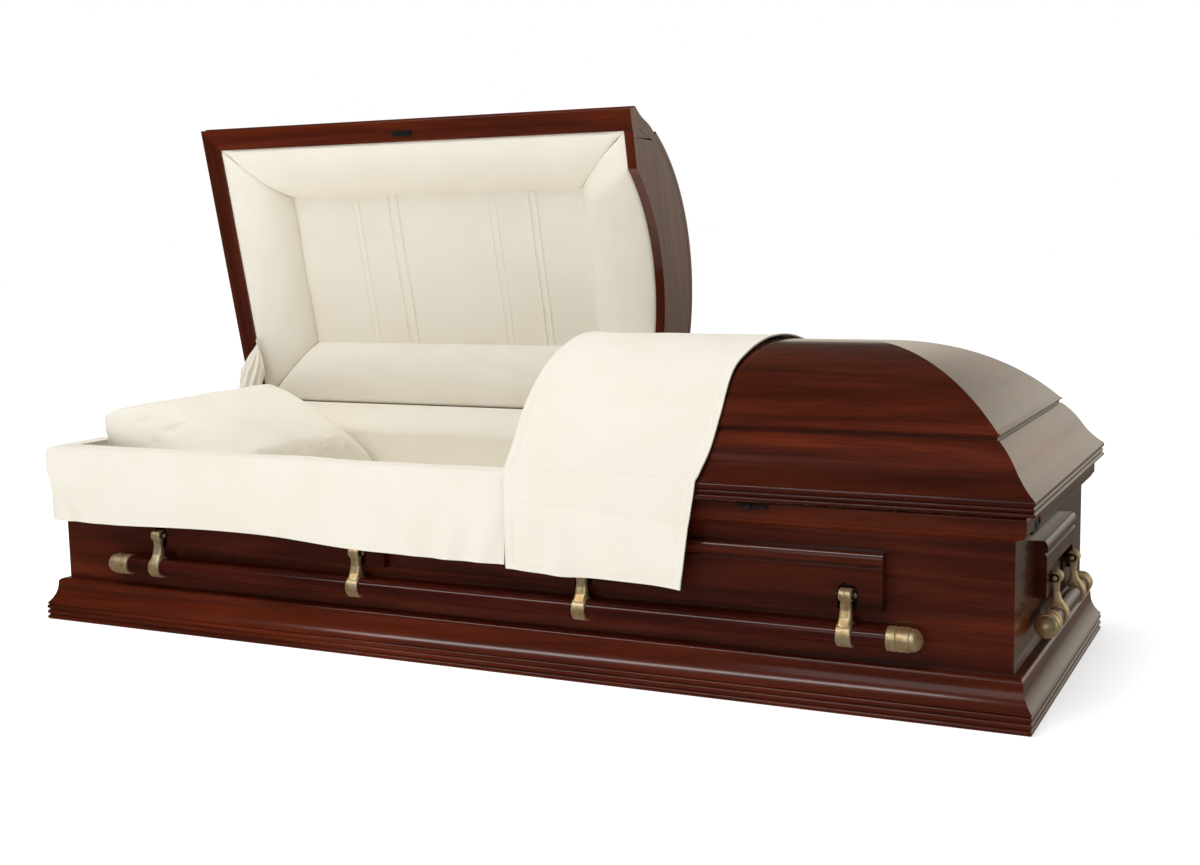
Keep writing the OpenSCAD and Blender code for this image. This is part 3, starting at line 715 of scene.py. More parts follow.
def lay_again(piece: bpy.types.Object, grain: Grain, tone: float) -> None:
    """Lays the grain afresh on a piece whose shape was carved."""
    for name in ("grain", "tone"):
        if name in piece.data.attributes:
            piece.data.attributes.remove(piece.data.attributes[name])
    lay_grain(piece, grain, tone)


@dataclass
class Lid:
    """One lid, worked out closed at its own end and then turned to its place at rest."""

    finishes: Finishes
    body: str
    end: Side
    cut: float
    opening: Matrix

    @property
    def sign(self) -> int:
        """Direction of the lid's far end along X."""
        return self.end.value[1]

    def settle(self, piece: bpy.types.Object, slot: Slot, *nodes: str) -> bpy.types.Object:
        """Turns a piece drawn closed to its place at rest and dresses it."""
        piece.data.transform(self.opening)
        return self.finishes.dress(piece, slot, self.body, *nodes)

    def build(self) -> None:
        """Makes the edge moulding, the dome, the hip, the arched board and the lining."""
        self.edges()
        self.dome()
        self.hip()
        self.header()
        LidLining(self).build()

    def edges(self) -> None:
        """The reeded rim and double-curved moulding on the lid's front, back and end."""
        edge, low_z, top_z = 0.7, 367.54, 377.4
        top_reed = reed(top_z, 389, edge, 120)
        start = tuple(top_reed[-1])
        finish = (74.0, 473.0)
        half = ((start[0] + finish[0]) / 2, (start[1] + finish[1]) / 2 - 1)
        neck = S.neck_in * PER_M
        reeds = [reed(360, low_z, edge), reed(low_z + 1, top_z - 1, edge + 1.5), top_reed]
        curves = [arc(start, half, 21, 16)[1:], arc(half, finish, -19, 16)[1:-1]]
        rest = line((*finish, 1.2), (78, 473), (78, 480), (neck, 480), (neck, 460), (50, 392))
        section = outline(line((50, 360, 1.2)), *reeds, *curves, rest, steps=3) * MM
        low, high = (None, self.cut) if self.sign < 0 else (self.cut, None)
        for side in (Side.FRONT, Side.BACK):
            name = f"{self.body}_{side.label}"
            self.settle(moulding(f"{name}_moulding", side, section, low, high), Slot.WOOD, name)
        name = f"{self.body}_end"
        self.settle(moulding(f"{name}_moulding", self.end, section, tone=0.1), Slot.WOOD, name)

    @staticmethod
    def dome_lines() -> tuple[np.ndarray, np.ndarray]:
        """Outer and inner lines of the dome's section as (across, height), with soft lower edges."""
        half = S.half_w - S.dome_in
        swing = math.asin(half / S.crown_r)
        a = np.linspace(-swing, swing, 97)
        outer = np.stack([S.crown_r * np.sin(a), S.crown_z + S.crown_r * np.cos(a)], -1)
        softened = ((0.0030, 0.0), (0.0009, 0.0009), (0.0002, 0.0030))
        bead = np.array([[-half + y, S.dome_z + z] for y, z in softened])
        outer = np.concatenate([bead, outer[1:-1], (bead * [-1, 1])[::-1]])
        inner_r = S.crown_r - S.dome_t
        swing = math.acos((S.dome_z - S.crown_z) / inner_r)
        b = np.linspace(-swing, swing, len(outer))
        return outer, np.stack([inner_r * np.sin(b), S.crown_z + inner_r * np.cos(b)], -1)

    def dome(self) -> None:
        """The barrel of the dome, from the split to the two hips at 45 degrees."""
        walls = []
        for points in self.dome_lines():
            y, z = points[:, 0], points[:, 1]
            far = self.sign * (S.half_l - S.half_w + np.abs(y))
            near = np.full_like(y, self.cut)
            walls.append(np.stack([np.stack([near, y, z], -1), np.stack([far, y, z], -1)]))
        piece = shell(f"{self.body}_dome_boards", walls[0], walls[1], sharp=BENT_EDGE)
        self.settle(lay_grain(piece, Grain.LONG, -0.12), Slot.WOOD, f"{self.body}_dome")

    def hip(self) -> None:
        """The hipped end: the dome's curve carried across between the two hips."""
        walls = []
        for points in self.dome_lines():
            left = points[: (len(points) + 1) // 2]
            inset, z = S.half_w + np.minimum(left[:, 0], -2e-4), left[:, 1]
            x, y = self.sign * (S.half_l - inset), S.half_w - inset
            walls.append(np.stack([np.stack([x, -y, z], -1), np.stack([x, y, z], -1)]))
        piece = shell(f"{self.body}_hip_board", walls[0], walls[1], sharp=BENT_EDGE)
        self.settle(lay_grain(piece, Grain.CROSS, 0.05), Slot.WOOD, f"{self.body}_hip")

    def header(self) -> None:
        """The arched board that closes the lid at the split."""
        half, low = 0.3225, S.arch_z
        inner = S.crown_r - S.dome_t
        swing = math.acos((S.dome_z - S.crown_z) / inner)
        a = np.linspace(-swing, swing, 81)
        dome = np.stack([inner * np.sin(a), S.crown_z + inner * np.cos(a)], -1)
        neck = S.half_w - S.neck_in
        side = np.array([[half, low], [half, 0.392], [neck, 0.460], [neck, 0.4795]])
        outer = np.concatenate([side * [-1, 1], dome[1:-1], side[::-1]])
        t = np.linspace(-1, 1, len(outer))
        under = np.stack([half * t, arch_height(half * t)], -1)
        near, far = self.cut + self.sign * 0.0005, self.cut + self.sign * S.header_t
        faces = [np.stack([np.insert(outer, 0, x, 1), np.insert(under, 0, x, 1)]) for x in (near, far)]
        piece = shell(f"{self.body}_arched_board", faces[0], faces[1], sharp=BENT_EDGE)
        self.settle(lay_grain(piece, Grain.CROSS, 0.0), Slot.WOOD, f"{self.body}_header")


def arch_height(y: np.ndarray) -> np.ndarray:
    """Height of the arched board's lower edge: an arc 84 mm high over the middle 477 mm, flat beyond it."""
    half, rise, low = 0.2385, 0.084, S.arch_z
    r = (half * half + rise * rise) / (2 * rise)
    return np.where(np.abs(y) < half, low + rise - r + np.sqrt(np.maximum(r * r - y * y, 0)), low)


# ------------------------------------------------------------------ cloth


def facing(points: np.ndarray, towards: np.ndarray) -> np.ndarray:
    """Unit normals of a grid of points, turned to the side that the given vectors point to."""
    normal = np.cross(np.gradient(points, axis=0), np.gradient(points, axis=1))
    normal /= np.maximum(np.linalg.norm(normal, axis=-1, keepdims=True), 1e-12)
    return normal * np.where((normal * towards).sum(-1, keepdims=True) < 0, -1.0, 1.0)


def cloth_sheet(name: str, face: np.ndarray, towards: np.ndarray, thick: float) -> bpy.types.Object:
    """Turns a grid of points into a sheet of cloth of a given thickness."""
    normal = facing(face, towards)
    piece = shell(name, face, face - normal * thick)
    return piece


def puff_up(piece: bpy.types.Object, voxel: float, pressure: float, cap: float,
            free: Callable[[np.ndarray], np.ndarray]) -> None:
    """Fills a closed pad by cloth simulation, with each point's travel capped.

    The pad is remeshed at the voxel size, pressed from inside for some frames without gravity, and
    each point p moves to p + d * min(1, cap * free(p) / |d|), where d is its travel.

    Args:
        piece: the pad.
        voxel: size of the new mesh's faces.
        pressure: pressure inside the pad.
        cap: the furthest that a loose point may travel.
        free: gives 0 for points where the cloth is held and 1 where it is loose.
    """
    frames = 20
    remesh = piece.modifiers.new("remesh", "REMESH")
    remesh.mode, remesh.voxel_size = "VOXEL", voxel
    bake_down(piece)
    before = positions(piece.data)
    cloth = piece.modifiers.new("cloth", "CLOTH")
    cloth.settings.use_pressure = True
    cloth.settings.uniform_pressure_force = pressure
    cloth.settings.effector_weights.gravity = 0
    cloth.settings.quality = 5
    cloth.settings.tension_stiffness = 12
    cloth.settings.compression_stiffness = 8
    cloth.settings.bending_stiffness = 0.4
    cloth.point_cache.frame_start, cloth.point_cache.frame_end = 1, frames
    for step in range(1, frames + 1):
        bpy.context.scene.frame_set(step)
    graph = bpy.context.evaluated_depsgraph_get()
    moved = positions(piece.evaluated_get(graph).to_mesh()) - before
    piece.evaluated_get(graph).to_mesh_clear()
    piece.modifiers.clear()
    bpy.context.scene.frame_set(1)
    travel = np.linalg.norm(moved, axis=1, keepdims=True)
    limit = cap * free(before)[:, None]
    after = before + moved * np.minimum(1, limit / np.maximum(travel, 1e-9))
    piece.data.vertices.foreach_set("co", after.astype(np.float32).ravel())
    piece.data.update()
    finer = piece.modifiers.new("finer", "SUBSURF")
    finer.levels = finer.render_levels = 1
    bake_down(piece)
    smooth(piece.data, 80)


def bake_down(piece: bpy.types.Object) -> None:
    """Applies a piece's modifiers to its mesh."""
    bpy.context.view_layer.update()
    mesh = bpy.data.meshes.new_from_object(piece.evaluated_get(bpy.context.evaluated_depsgraph_get()))
    piece.modifiers.clear()
    piece.data = mesh


@dataclass
class LidLining:
    """Four padded rolls and a flat tucked panel inside a lid; each tuck is (X from the split, height)."""

    lid: Lid
    bulge: float = 0.026
    edge_in: float = 0.0512
    low_z: float = 0.3645
    arch_w: float = 0.174
    overlap: float = 0.004
    panel_t: float = 0.003
    tucks: tuple[tuple[float, float], ...] = (
        (-0.8059, 0.0022), (-0.7884, 0.0026), (-0.7020, 0.0040), (-0.6764, 0.0040),
        (-0.4245, 0.0026), (-0.4058, 0.0022), (-0.3158, 0.0036), (-0.2976, 0.0036),
    )

    @property
    def split(self) -> float:
        """X of the split, with the lid drawn at the head end."""
        return -self.lid.sign * self.lid.cut

    @property
    def panel_end(self) -> float:
        """X of the flat panel's edge nearest the split, with the lid drawn at the head end."""
        return self.split - self.arch_w

    def place(self, x: np.ndarray, y: np.ndarray, z: np.ndarray) -> np.ndarray:
        """Points for this lid from X as drawn at the head end."""
        return np.stack(np.broadcast_arrays(-self.lid.sign * x, y, z), -1)

    def build(self) -> None:
        """Makes the rolls, each crowned by sin(pi t^1.15)^0.62 over its width t, and the panel."""
        node = "head_lid_puff" if self.lid.sign < 0 else "foot_lid_lining"
        for name, outer, inner in self.rolls():
            s, t = np.meshgrid(np.linspace(0, 1, outer.shape[0]), np.linspace(0, 1, 29), indexing="ij")
            base = outer[:, None] * (1 - t[..., None]) + inner[:, None] * t[..., None]
            down = facing(base, np.broadcast_to([0.0, 0.0, -1.0], base.shape))
            crown = np.sin(math.pi * t ** 1.15) ** 0.62 * (1 - np.abs(2 * s - 1) ** 40) ** 0.5
            soft = wobble(s * 6, t * 2, zlib.crc32(name.encode())) * 0.0012 * np.sin(math.pi * t)
            face = base + down * (self.bulge * crown + soft)[..., None]
            back = base - down * (0.004 + 0.010 * np.sin(math.pi * t))[..., None]
            piece = shell(f"{self.lid.body}_{name}", face, back)
            self.lid.settle(piece, Slot.CLOTH, node)
        self.panel()

    def rolls(self) -> list[tuple[str, np.ndarray, np.ndarray]]:
        """Name, outer edge and inner edge of each roll; the edges run along the casket or across it."""
        lo, hi, low_z = S.half_l - self.edge_in, self.split - S.header_t - 0.001, self.low_z
        y_out, y_in, x_in = S.half_w - self.edge_in, S.half_w - S.cap_in, S.half_l - S.cap_in
        s = np.linspace(0, 1, 101)
        x_edge, x_flat = -lo + (hi + lo) * s, -x_in + (self.panel_end + x_in) * s
        across, across_in = -y_out + 2 * y_out * s, -y_in + 2 * y_in * s
        arched = np.maximum(low_z, arch_height(across))
        return [
            ("roll_front", self.place(x_edge, -y_out, low_z), self.place(x_flat, -y_in, S.cap_z)),
            ("roll_back", self.place(x_edge, y_out, low_z), self.place(x_flat, y_in, S.cap_z)),
            ("roll_end", self.place(-lo, across, low_z), self.place(-x_in, across_in, S.cap_z)),
            ("roll_arch", self.place(hi, across, arched), self.place(self.panel_end, across_in, S.cap_z)),
        ]

    def panel(self) -> None:
        """The flat panel: each tuck is a pleat whose height falls off as exp(-(d/w)^2) from its line."""
        x = np.linspace(-(S.half_l - S.cap_in) - self.overlap, self.panel_end + self.overlap, 400)
        y = np.linspace(-(S.half_w - S.cap_in) - self.overlap, S.half_w - S.cap_in + self.overlap, 18)
        gx, gy = np.meshgrid(x, y, indexing="ij")
        lean, width = 0.0012 * np.sin(gy * 9), 0.0022
        pleats = 0
        for from_split, height in self.tucks:
            at = from_split + self.split
            pleats = pleats + height * np.exp(-(((gx - at - lean) / width) ** 2)) * (gx < at + lean + 0.004)
        soft = 0.0008 * wobble(gx * 5, gy * 5, 5)
        face = self.place(gx, gy, S.cap_z - pleats - soft)
        down = np.broadcast_to([0.0, 0.0, -1.0], face.shape)
        piece = cloth_sheet(f"{self.lid.body}_tucked_panel", face, down, self.panel_t)
        self.lid.settle(piece, Slot.CLOTH, *(["head_lid_cap_panel"] if self.lid.sign < 0 else []))


@dataclass
class Interior:
    """Mattress, wall padding, back cloth, pillow, apron and the sleeve at the head end."""

    finishes: Finishes
    pillow_l: float = 0.365
    pillow_w: float = 0.580
    pillow_t: float = 0.165
    pillow_tilt: float = 29.0
    pillow_x: float = -0.795
    pillow_z: float = 0.360
    bed_in: float = 0.0665
    pad_low: float = 0.190
    pad_high: float = 0.3538
    hem_z: float = 0.212
    free_z: float = 0.335

    def build(self) -> None:
        """Makes every soft piece of the body."""
        self.mattress()
        self.walls()
        self.back_cloth()
        self.pillow()
        self.apron()
        self.sleeve()

    def mattress(self) -> None:
        """A slab whose top sinks at its edges by 12 (1 - f) mm, where f = ((1 - u^40) (1 - v^16))^(1/2)."""
        u, v = np.meshgrid(np.linspace(-1, 1, 121), np.linspace(-1, 1, 61), indexing="ij")
        fall = ((1 - np.abs(u) ** 40) * (1 - np.abs(v) ** 16)) ** 0.5
        x, y = u * (S.half_l - self.bed_in), v * (S.half_w - self.bed_in)
        top = S.bed_z - 0.012 * (1 - fall) - 0.0012 * (1 + wobble(u * 8, v * 3, 11)) * fall
        under = np.full_like(x, S.bottom_t + 0.001)
        piece = shell("mattress_pad", np.stack([x, y, top], -1), np.stack([x, y, under], -1))
        self.finishes.dress(piece, Slot.CLOTH, "casket", "mattress")

    def walls(self) -> None:
        """Padding round the inside, crowned between the bed and a soft roll along its top edge."""
        back, roll = S.board_in + S.board_t + 0.001, 0.9
        t = np.linspace(0, 1, 27)
        z = self.pad_low + (self.pad_high - self.pad_low) * t
        crown = 0.0052 * np.sin(math.pi * np.clip(t, 0, roll) / roll) ** 0.6
        inset = 0.0612 + crown - 0.005 * np.clip((t - roll) / 0.1, 0, 1) ** 2
        for side in Side:
            u, k = np.meshgrid(np.linspace(-1, 1, 121), np.arange(len(t)), indexing="ij")
            waves = 9 if side.is_long else 3
            soft = 0.0011 * wobble(u * waves, t[k] * 2, zlib.crc32(side.name.encode()))
            depth = inset[k] + soft * np.sin(math.pi * t[k])
            face = side.place(u * side.reach(depth), depth, z[k])
            rear = side.place(u * side.reach(back), np.full_like(depth, back), z[k])
            piece = shell(f"wall_pad_{side.label}", face, rear)
            self.finishes.dress(piece, Slot.CLOTH, "casket", "wall_lining")

    def back_cloth(self) -> None:
        """A soft cloth down the back wall from the head lid's lining.

        Below the hinge it hangs straight, and above it leans back by t^1.5.
        """
        head_x, split_x, wall_y, lining_y = -0.994, 0.088, 0.3046, 0.0619
        edge_z, up, down = 0.345, 0.0655, 0.107
        x, t = np.meshgrid(np.linspace(head_x, split_x, 150), np.linspace(-1, 1, 42), indexing="ij")
        low, t = np.minimum(t, 0), np.maximum(t, 0)
        y = wall_y + lining_y * t ** 1.5
        z = edge_z + up * t + down * low
        soft = 0.0012 * wobble(x * 5, t, 23) * np.sin(math.pi * t)
        face = np.stack([x, y - 0.004 * np.sin(math.pi * t) - soft, z], -1)
        towards = np.broadcast_to([0.0, -1.0, 0.3], face.shape)
        piece = cloth_sheet("hinge_cloth", face, towards, 0.0025)
        piece.data.materials.append(self.finishes.made[Slot.CLOTH])
        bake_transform(piece)

    def pillow(self) -> None:
        """A stuffed square case, tilted up at the head end.

        With s = ((1 - u^2) (1 - v^2))^0.5 over the case, its upper side stands 0.92 h s^0.62 off the
        tilted plane of its edges, where h is half its thickness, and its underside sinks from the edges
        to the bed by s^0.35. Its sides pull in between the corners by 5%.
        """
        u = np.sin(np.linspace(-1, 1, 75) * math.pi / 2)
        v = np.sin(np.linspace(-1, 1, 95) * math.pi / 2)
        u, v = np.meshgrid(u, v, indexing="ij")
        swell = np.sqrt(np.maximum((1 - u ** 2) * (1 - v ** 2), 0))
        x = self.pillow_l / 2 * u * (1 - 0.05 * (1 - v ** 2))
        y = self.pillow_w / 2 * v * (1 - 0.05 * (1 - u ** 2))
        tilt, half = math.radians(self.pillow_tilt), self.pillow_t / 2
        edge = self.pillow_z - x * math.sin(tilt)
        lift = half * 0.92 * swell ** 0.62 + 0.0030 * wobble(u * 1.6, v * 1.6, 32) * swell
        flat = self.pillow_x + x * math.cos(tilt)
        top = np.stack([flat + lift * math.sin(tilt), y, edge + lift * math.cos(tilt)], -1)
        under = edge - (edge - S.bed_z - 0.002) * swell ** 0.35
        bottom = np.stack([flat, y, np.minimum(under, edge)], -1)
        piece = shell("pillow_case", top, bottom)
        puff_up(piece, 0.006, 3.0, 0.012, lambda p: np.clip((p[:, 2] - S.bed_z) / 0.02, 0, 1))
        self.keep_in(piece)
        self.finishes.dress(piece, Slot.CLOTH, "casket", "pillow")
        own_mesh(piece)

    @staticmethod
    def keep_in(piece: bpy.types.Object) -> None:
        """Keeps the pillow's points inside the padded walls and above the bed."""
        co, inset = positions(piece.data), 0.0672
        limit = np.array([S.half_l - inset, S.half_w - inset])
        co[:, :2] = np.clip(co[:, :2], -limit, limit)
        co[:, 2] = np.maximum(co[:, 2], S.bed_z + 0.001)
        piece.data.vertices.foreach_set("co", co.astype(np.float32).ravel())
        piece.data.update()

    def apron(self) -> None:
        """The skirt of cloth over the box's edge: over a soft roll, down the rail and out to its hem.

        Its section is carried along the front, round the head corner and across the head end; folds
        are waves that grow from the rail to the hem.
        """
        section = self.skirt_section()
        drop = np.clip((self.free_z - section[:, 1]) / (self.free_z - self.hem_z), 0, 1)[None]
        face, s = self.skirt_grid(section, drop)
        none, past = 0 * drop, s > 1.17
        towards = np.stack([np.where(past, -1.0, 0.0) + none, np.where(past, 0.0, -1.0) + none,
                            0.4 + none * s], -1)
        outward = facing(face, towards)
        face = face + outward * self.folds(s, drop)[..., None]
        flare = 0.013 + 0.017 * np.exp(-((s - 1.13) / 0.13) ** 2)
        face[..., 0] += drop * flare * np.clip((s - 0.6) / 0.4, 0, 1)
        rise = np.clip((s - 0.30) / 0.45, 0, 1)
        lift = drop ** 2 * 0.018 * rise ** 2 * (3 - 2 * rise)
        uneven = drop ** 2 * 0.0035 * wobble(s * 1.4, none, 41)
        face[..., 2] += lift + uneven + 0.0008 * wobble(s * 4, none, 43)
        piece = cloth_sheet("apron_cloth", face, outward, 0.0026)
        self.finishes.dress(piece, Slot.CLOTH, "casket", "apron")
        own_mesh(piece)

    def skirt_section(self) -> np.ndarray:
        """The skirt's section as (inset, height), from inside the box over its edge and down to the hem."""
        corners = [(62.0, 356.2), (58.0, 383.0), (21.0, 384.6), (10.6, 371.0), (9.0, 330.0),
                   (-3.0, self.hem_z / MM)]
        bends = [(-70, 8), (8, 10), (75, 8), (3, 8), (-10, 22)]
        section = np.array(corners[:1])
        for p, q, (turn, n) in zip(corners, corners[1:], bends):
            section = np.concatenate([section, arc(p, q, turn, n)[1:]])
        return section * MM

    @staticmethod
    def skirt_grid(section: np.ndarray, drop: np.ndarray) -> tuple[np.ndarray, np.ndarray]:
        """Carries the skirt's section along the front, round the head corner and across the head end.

        Args:
            section: points of (inset, height).
            drop: 0 where the cloth lies on the box, growing to 1 at the hem; the corner widens with it.

        Returns:
            The grid of points and each row's place along the skirt, in about metres on the front.
        """
        split_x, end_y, straight, round_n, across = 0.0935, 0.366, 330, 20, 90
        turn_at, past_turn, end_at = 1.134, 1.2, 1.6
        inset, z = section[None, :, 0], section[None, :, 1]
        corner = 0.004 + 0.046 * drop
        left, near = -S.half_l + inset + corner, -S.half_w + inset + corner
        f = np.linspace(0, 1, straight)[:, None]
        front = np.stack(np.broadcast_arrays(split_x + (left - split_x) * f, -S.half_w + inset, z), -1)
        a = np.linspace(0, math.pi / 2, round_n)[1:, None]
        round_y = -S.half_w + inset + corner * (1 - np.cos(a))
        bend = np.stack(np.broadcast_arrays(left - corner * np.sin(a), round_y, z), -1)
        g = np.linspace(0, 1, across)[1:, None]
        head = np.stack(np.broadcast_arrays(-S.half_l + inset, near + (end_y - near) * g, z), -1)
        s = np.concatenate([np.linspace(0, turn_at, straight), np.linspace(turn_at, past_turn, round_n)[1:],
                            np.linspace(past_turn, end_at, across)[1:]])[:, None]
        return np.concatenate([front, bend, head]), s

    @staticmethod
    def folds(s: np.ndarray, drop: np.ndarray) -> np.ndarray:
        """How far the skirt stands out: broad waves, and sharper folds by the split and the corner."""
        broad = 0.0040 * wobble(s * 1.6, drop, 51)
        split = 0.0090 * np.exp(-((s - 0.10) / 0.11) ** 2) * np.sin(s * 78 - drop * 2.2)
        corner = 0.0075 * np.exp(-((s - 1.13) / 0.09) ** 2) * np.sin(s * 64 + drop * 3)
        return (broad + split + corner) * drop ** 1.3 + 0.0004 * wobble(s * 5, drop * 4, 53)

    def sleeve(self) -> None:
        """A gathered sleeve from the box's corner up to the lid, ruffled and pulled to a point at the top."""
        round_ring = np.linspace(0, 2 * math.pi, 96, endpoint=False)
        a, v = np.meshgrid(round_ring, np.linspace(0, 1, 60), indexing="ij")
        foot_x, foot_y, foot_z, height = -1.0250, 0.2995, 0.384, 0.184
        rise = foot_z + height * v
        lean = np.stack([foot_x + 0.0230 * v ** 1.3, foot_y + 0.0250 * v ** 1.2], -1)
        belly = 0.006 * np.sin(math.pi * np.clip(v * 1.15, 0, 1))
        width = 0.021 + belly - 0.0245 * np.clip((v - 0.55) / 0.45, 0, 1) ** 1.6
        gather = 1 + (0.06 + 0.14 * v) * np.sin(a * 9 + 2.4 * np.sin(v * 5)) + 0.05 * np.sin(a * 4 + v * 21)
        face = np.stack([lean[..., 0] + width * gather * np.cos(a), lean[..., 1] + width * gather * np.sin(a),
                         rise + 0.002 * np.sin(a * 9)], -1)
        centre = np.stack([lean[..., 0], lean[..., 1], rise], -1)
        inner = face + (centre - face) * np.minimum(0.5, 0.0018 / width)[..., None]
        piece = shell("sleeve_cloth", face, inner, wrap=True)
        self.finishes.dress(piece, Slot.CLOTH, "casket", "stay_cover")
        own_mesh(piece)


@dataclass
class Throw:
    """A hemmed cloth folded over the foot lid beside the split; its first rows hang below the lid's rim."""

    finishes: Finishes
    left: float = 0.1012
    lift: float = 0.0040
    thick: float = 0.0030
    fall: int = 43
    fall_z: float = 0.203
    hem_z: float = 0.197

    def build(self) -> None:
        """Lays the sheet over the lid: up from the front hem, over the rim, the step and the dome."""
        path, right = self.path()
        t = np.linspace(0, 1, 125)[None, :]
        x = self.left + (right[:, None] - self.left) * t
        y, z = np.broadcast_to(path[:, :1], x.shape), np.broadcast_to(path[:, 1:], x.shape)
        face = np.stack([x, y, z], -1)
        out = facing(face, np.stack([0 * y, y * 1.0, np.full_like(y, 0.3)], -1))
        s = np.linspace(0, 1, len(path))[:, None]
        hang = np.clip((S.rim_top - z) / 0.19, 0, 1)
        edge = np.minimum(x - self.left, right[:, None] - x)
        hem = np.minimum(edge, (z - self.hem_z) * np.where(y < 0, 1.0, 9.0) + 0 * x)
        stitch = 0.0012 * np.exp(-((hem - 0.017) / 0.0018) ** 2)
        seam = 0.0012 * (hem < 0.016) - stitch + 0.0008 * np.exp(-(hem / 0.003) ** 2)
        crease = 0.0016 * np.exp(-((z - 0.318 - 0.01 * np.sin(x * 9)) / 0.006) ** 2) * (y < 0)
        ripple = 0.0045 * np.sin(x * 62 + 8 * s) * np.exp(-((x - 0.19) / 0.06) ** 2)
        folds = hang * (0.0050 * wobble(x * 7, s * 6, 61) + ripple)
        face = face + out * (seam + crease + folds + 0.0007 * wobble(x * 8, s * 9, 63))[..., None]
        face[..., 2] += np.where(y < 0, 1, 0) * hang ** 4 * (0.004 * wobble(x * 4, 0 * s, 65) - 0.006 * t)
        top = cloth_sheet("throw_cloth", face[self.fall:], out[self.fall:], self.thick)
        self.finishes.dress(top, Slot.CLOTH, "foot_lid", "throw")
        rows = self.fall + 1
        fall = cloth_sheet("throw_fall", face[:rows], out[:rows], self.thick)
        self.finishes.dress(fall, Slot.CLOTH, "foot_lid", "throw")
        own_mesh(fall)

    def path(self) -> tuple[np.ndarray, np.ndarray]:
        """Points of the cloth's line across the lid as (y, z), and where its right edge is at each."""
        off = self.lift + self.thick
        r = S.crown_r + off
        swing = math.acos((S.dome_z - S.crown_z + 0.004) / S.crown_r)
        a = np.linspace(-swing, swing, 90)
        dome = np.stack([r * np.sin(a), S.crown_z + r * np.cos(a)], -1)
        front_y, rim = -S.half_w - off + 0.0005, S.rim_top + off
        rows = self.fall + 1
        hang = np.stack([np.full(rows, front_y), np.linspace(self.fall_z, rim - 0.006, rows)], -1)
        turn = arc((front_y, rim - 0.006), (front_y + 0.006, rim + 0.0015), -60, 6)[1:]
        slope = arc(tuple(turn[-1]), tuple(dome[0]), 11, 26)[1:-1]
        back = arc(tuple(dome[-1]), (S.half_w - 0.020, S.rim_top + 0.028), 6, 18)[1:]
        path = np.concatenate([hang, turn, slope, dome, back])
        run = np.append(0, np.cumsum(np.linalg.norm(np.diff(path, axis=0), axis=1)))
        stops = [0, 0.12, 0.19, 0.255, 0.33, 0.46, 0.62, 0.9, 1.2]
        right = np.interp(run, stops, [0.453, 0.473, 0.4845, 0.496, 0.500, 0.487, 0.503, 0.536, 0.555])
        kernel = np.hanning(15) / np.hanning(15).sum()
        return path, np.convolve(np.pad(right, 7, mode="edge"), kernel, mode="valid")


# ------------------------------------------------------------------ swing-bar handles


def tube(name: str, rings: np.ndarray) -> bpy.types.Object:
    """A closed solid through a row of rings with the same number of points, capped at both ends."""
    rows, n = rings.shape[:2]
    ring = np.concatenate([rings, rings[:, :1]], 1)
    index = np.arange(rows * (n + 1)).reshape(rows, n + 1)
    faces = [*quads(rows, n + 1).tolist(), index[0, :-1].tolist(), index[-1, :-1][::-1].tolist()]
    return build(name, ring, faces, SOFT_EDGE)


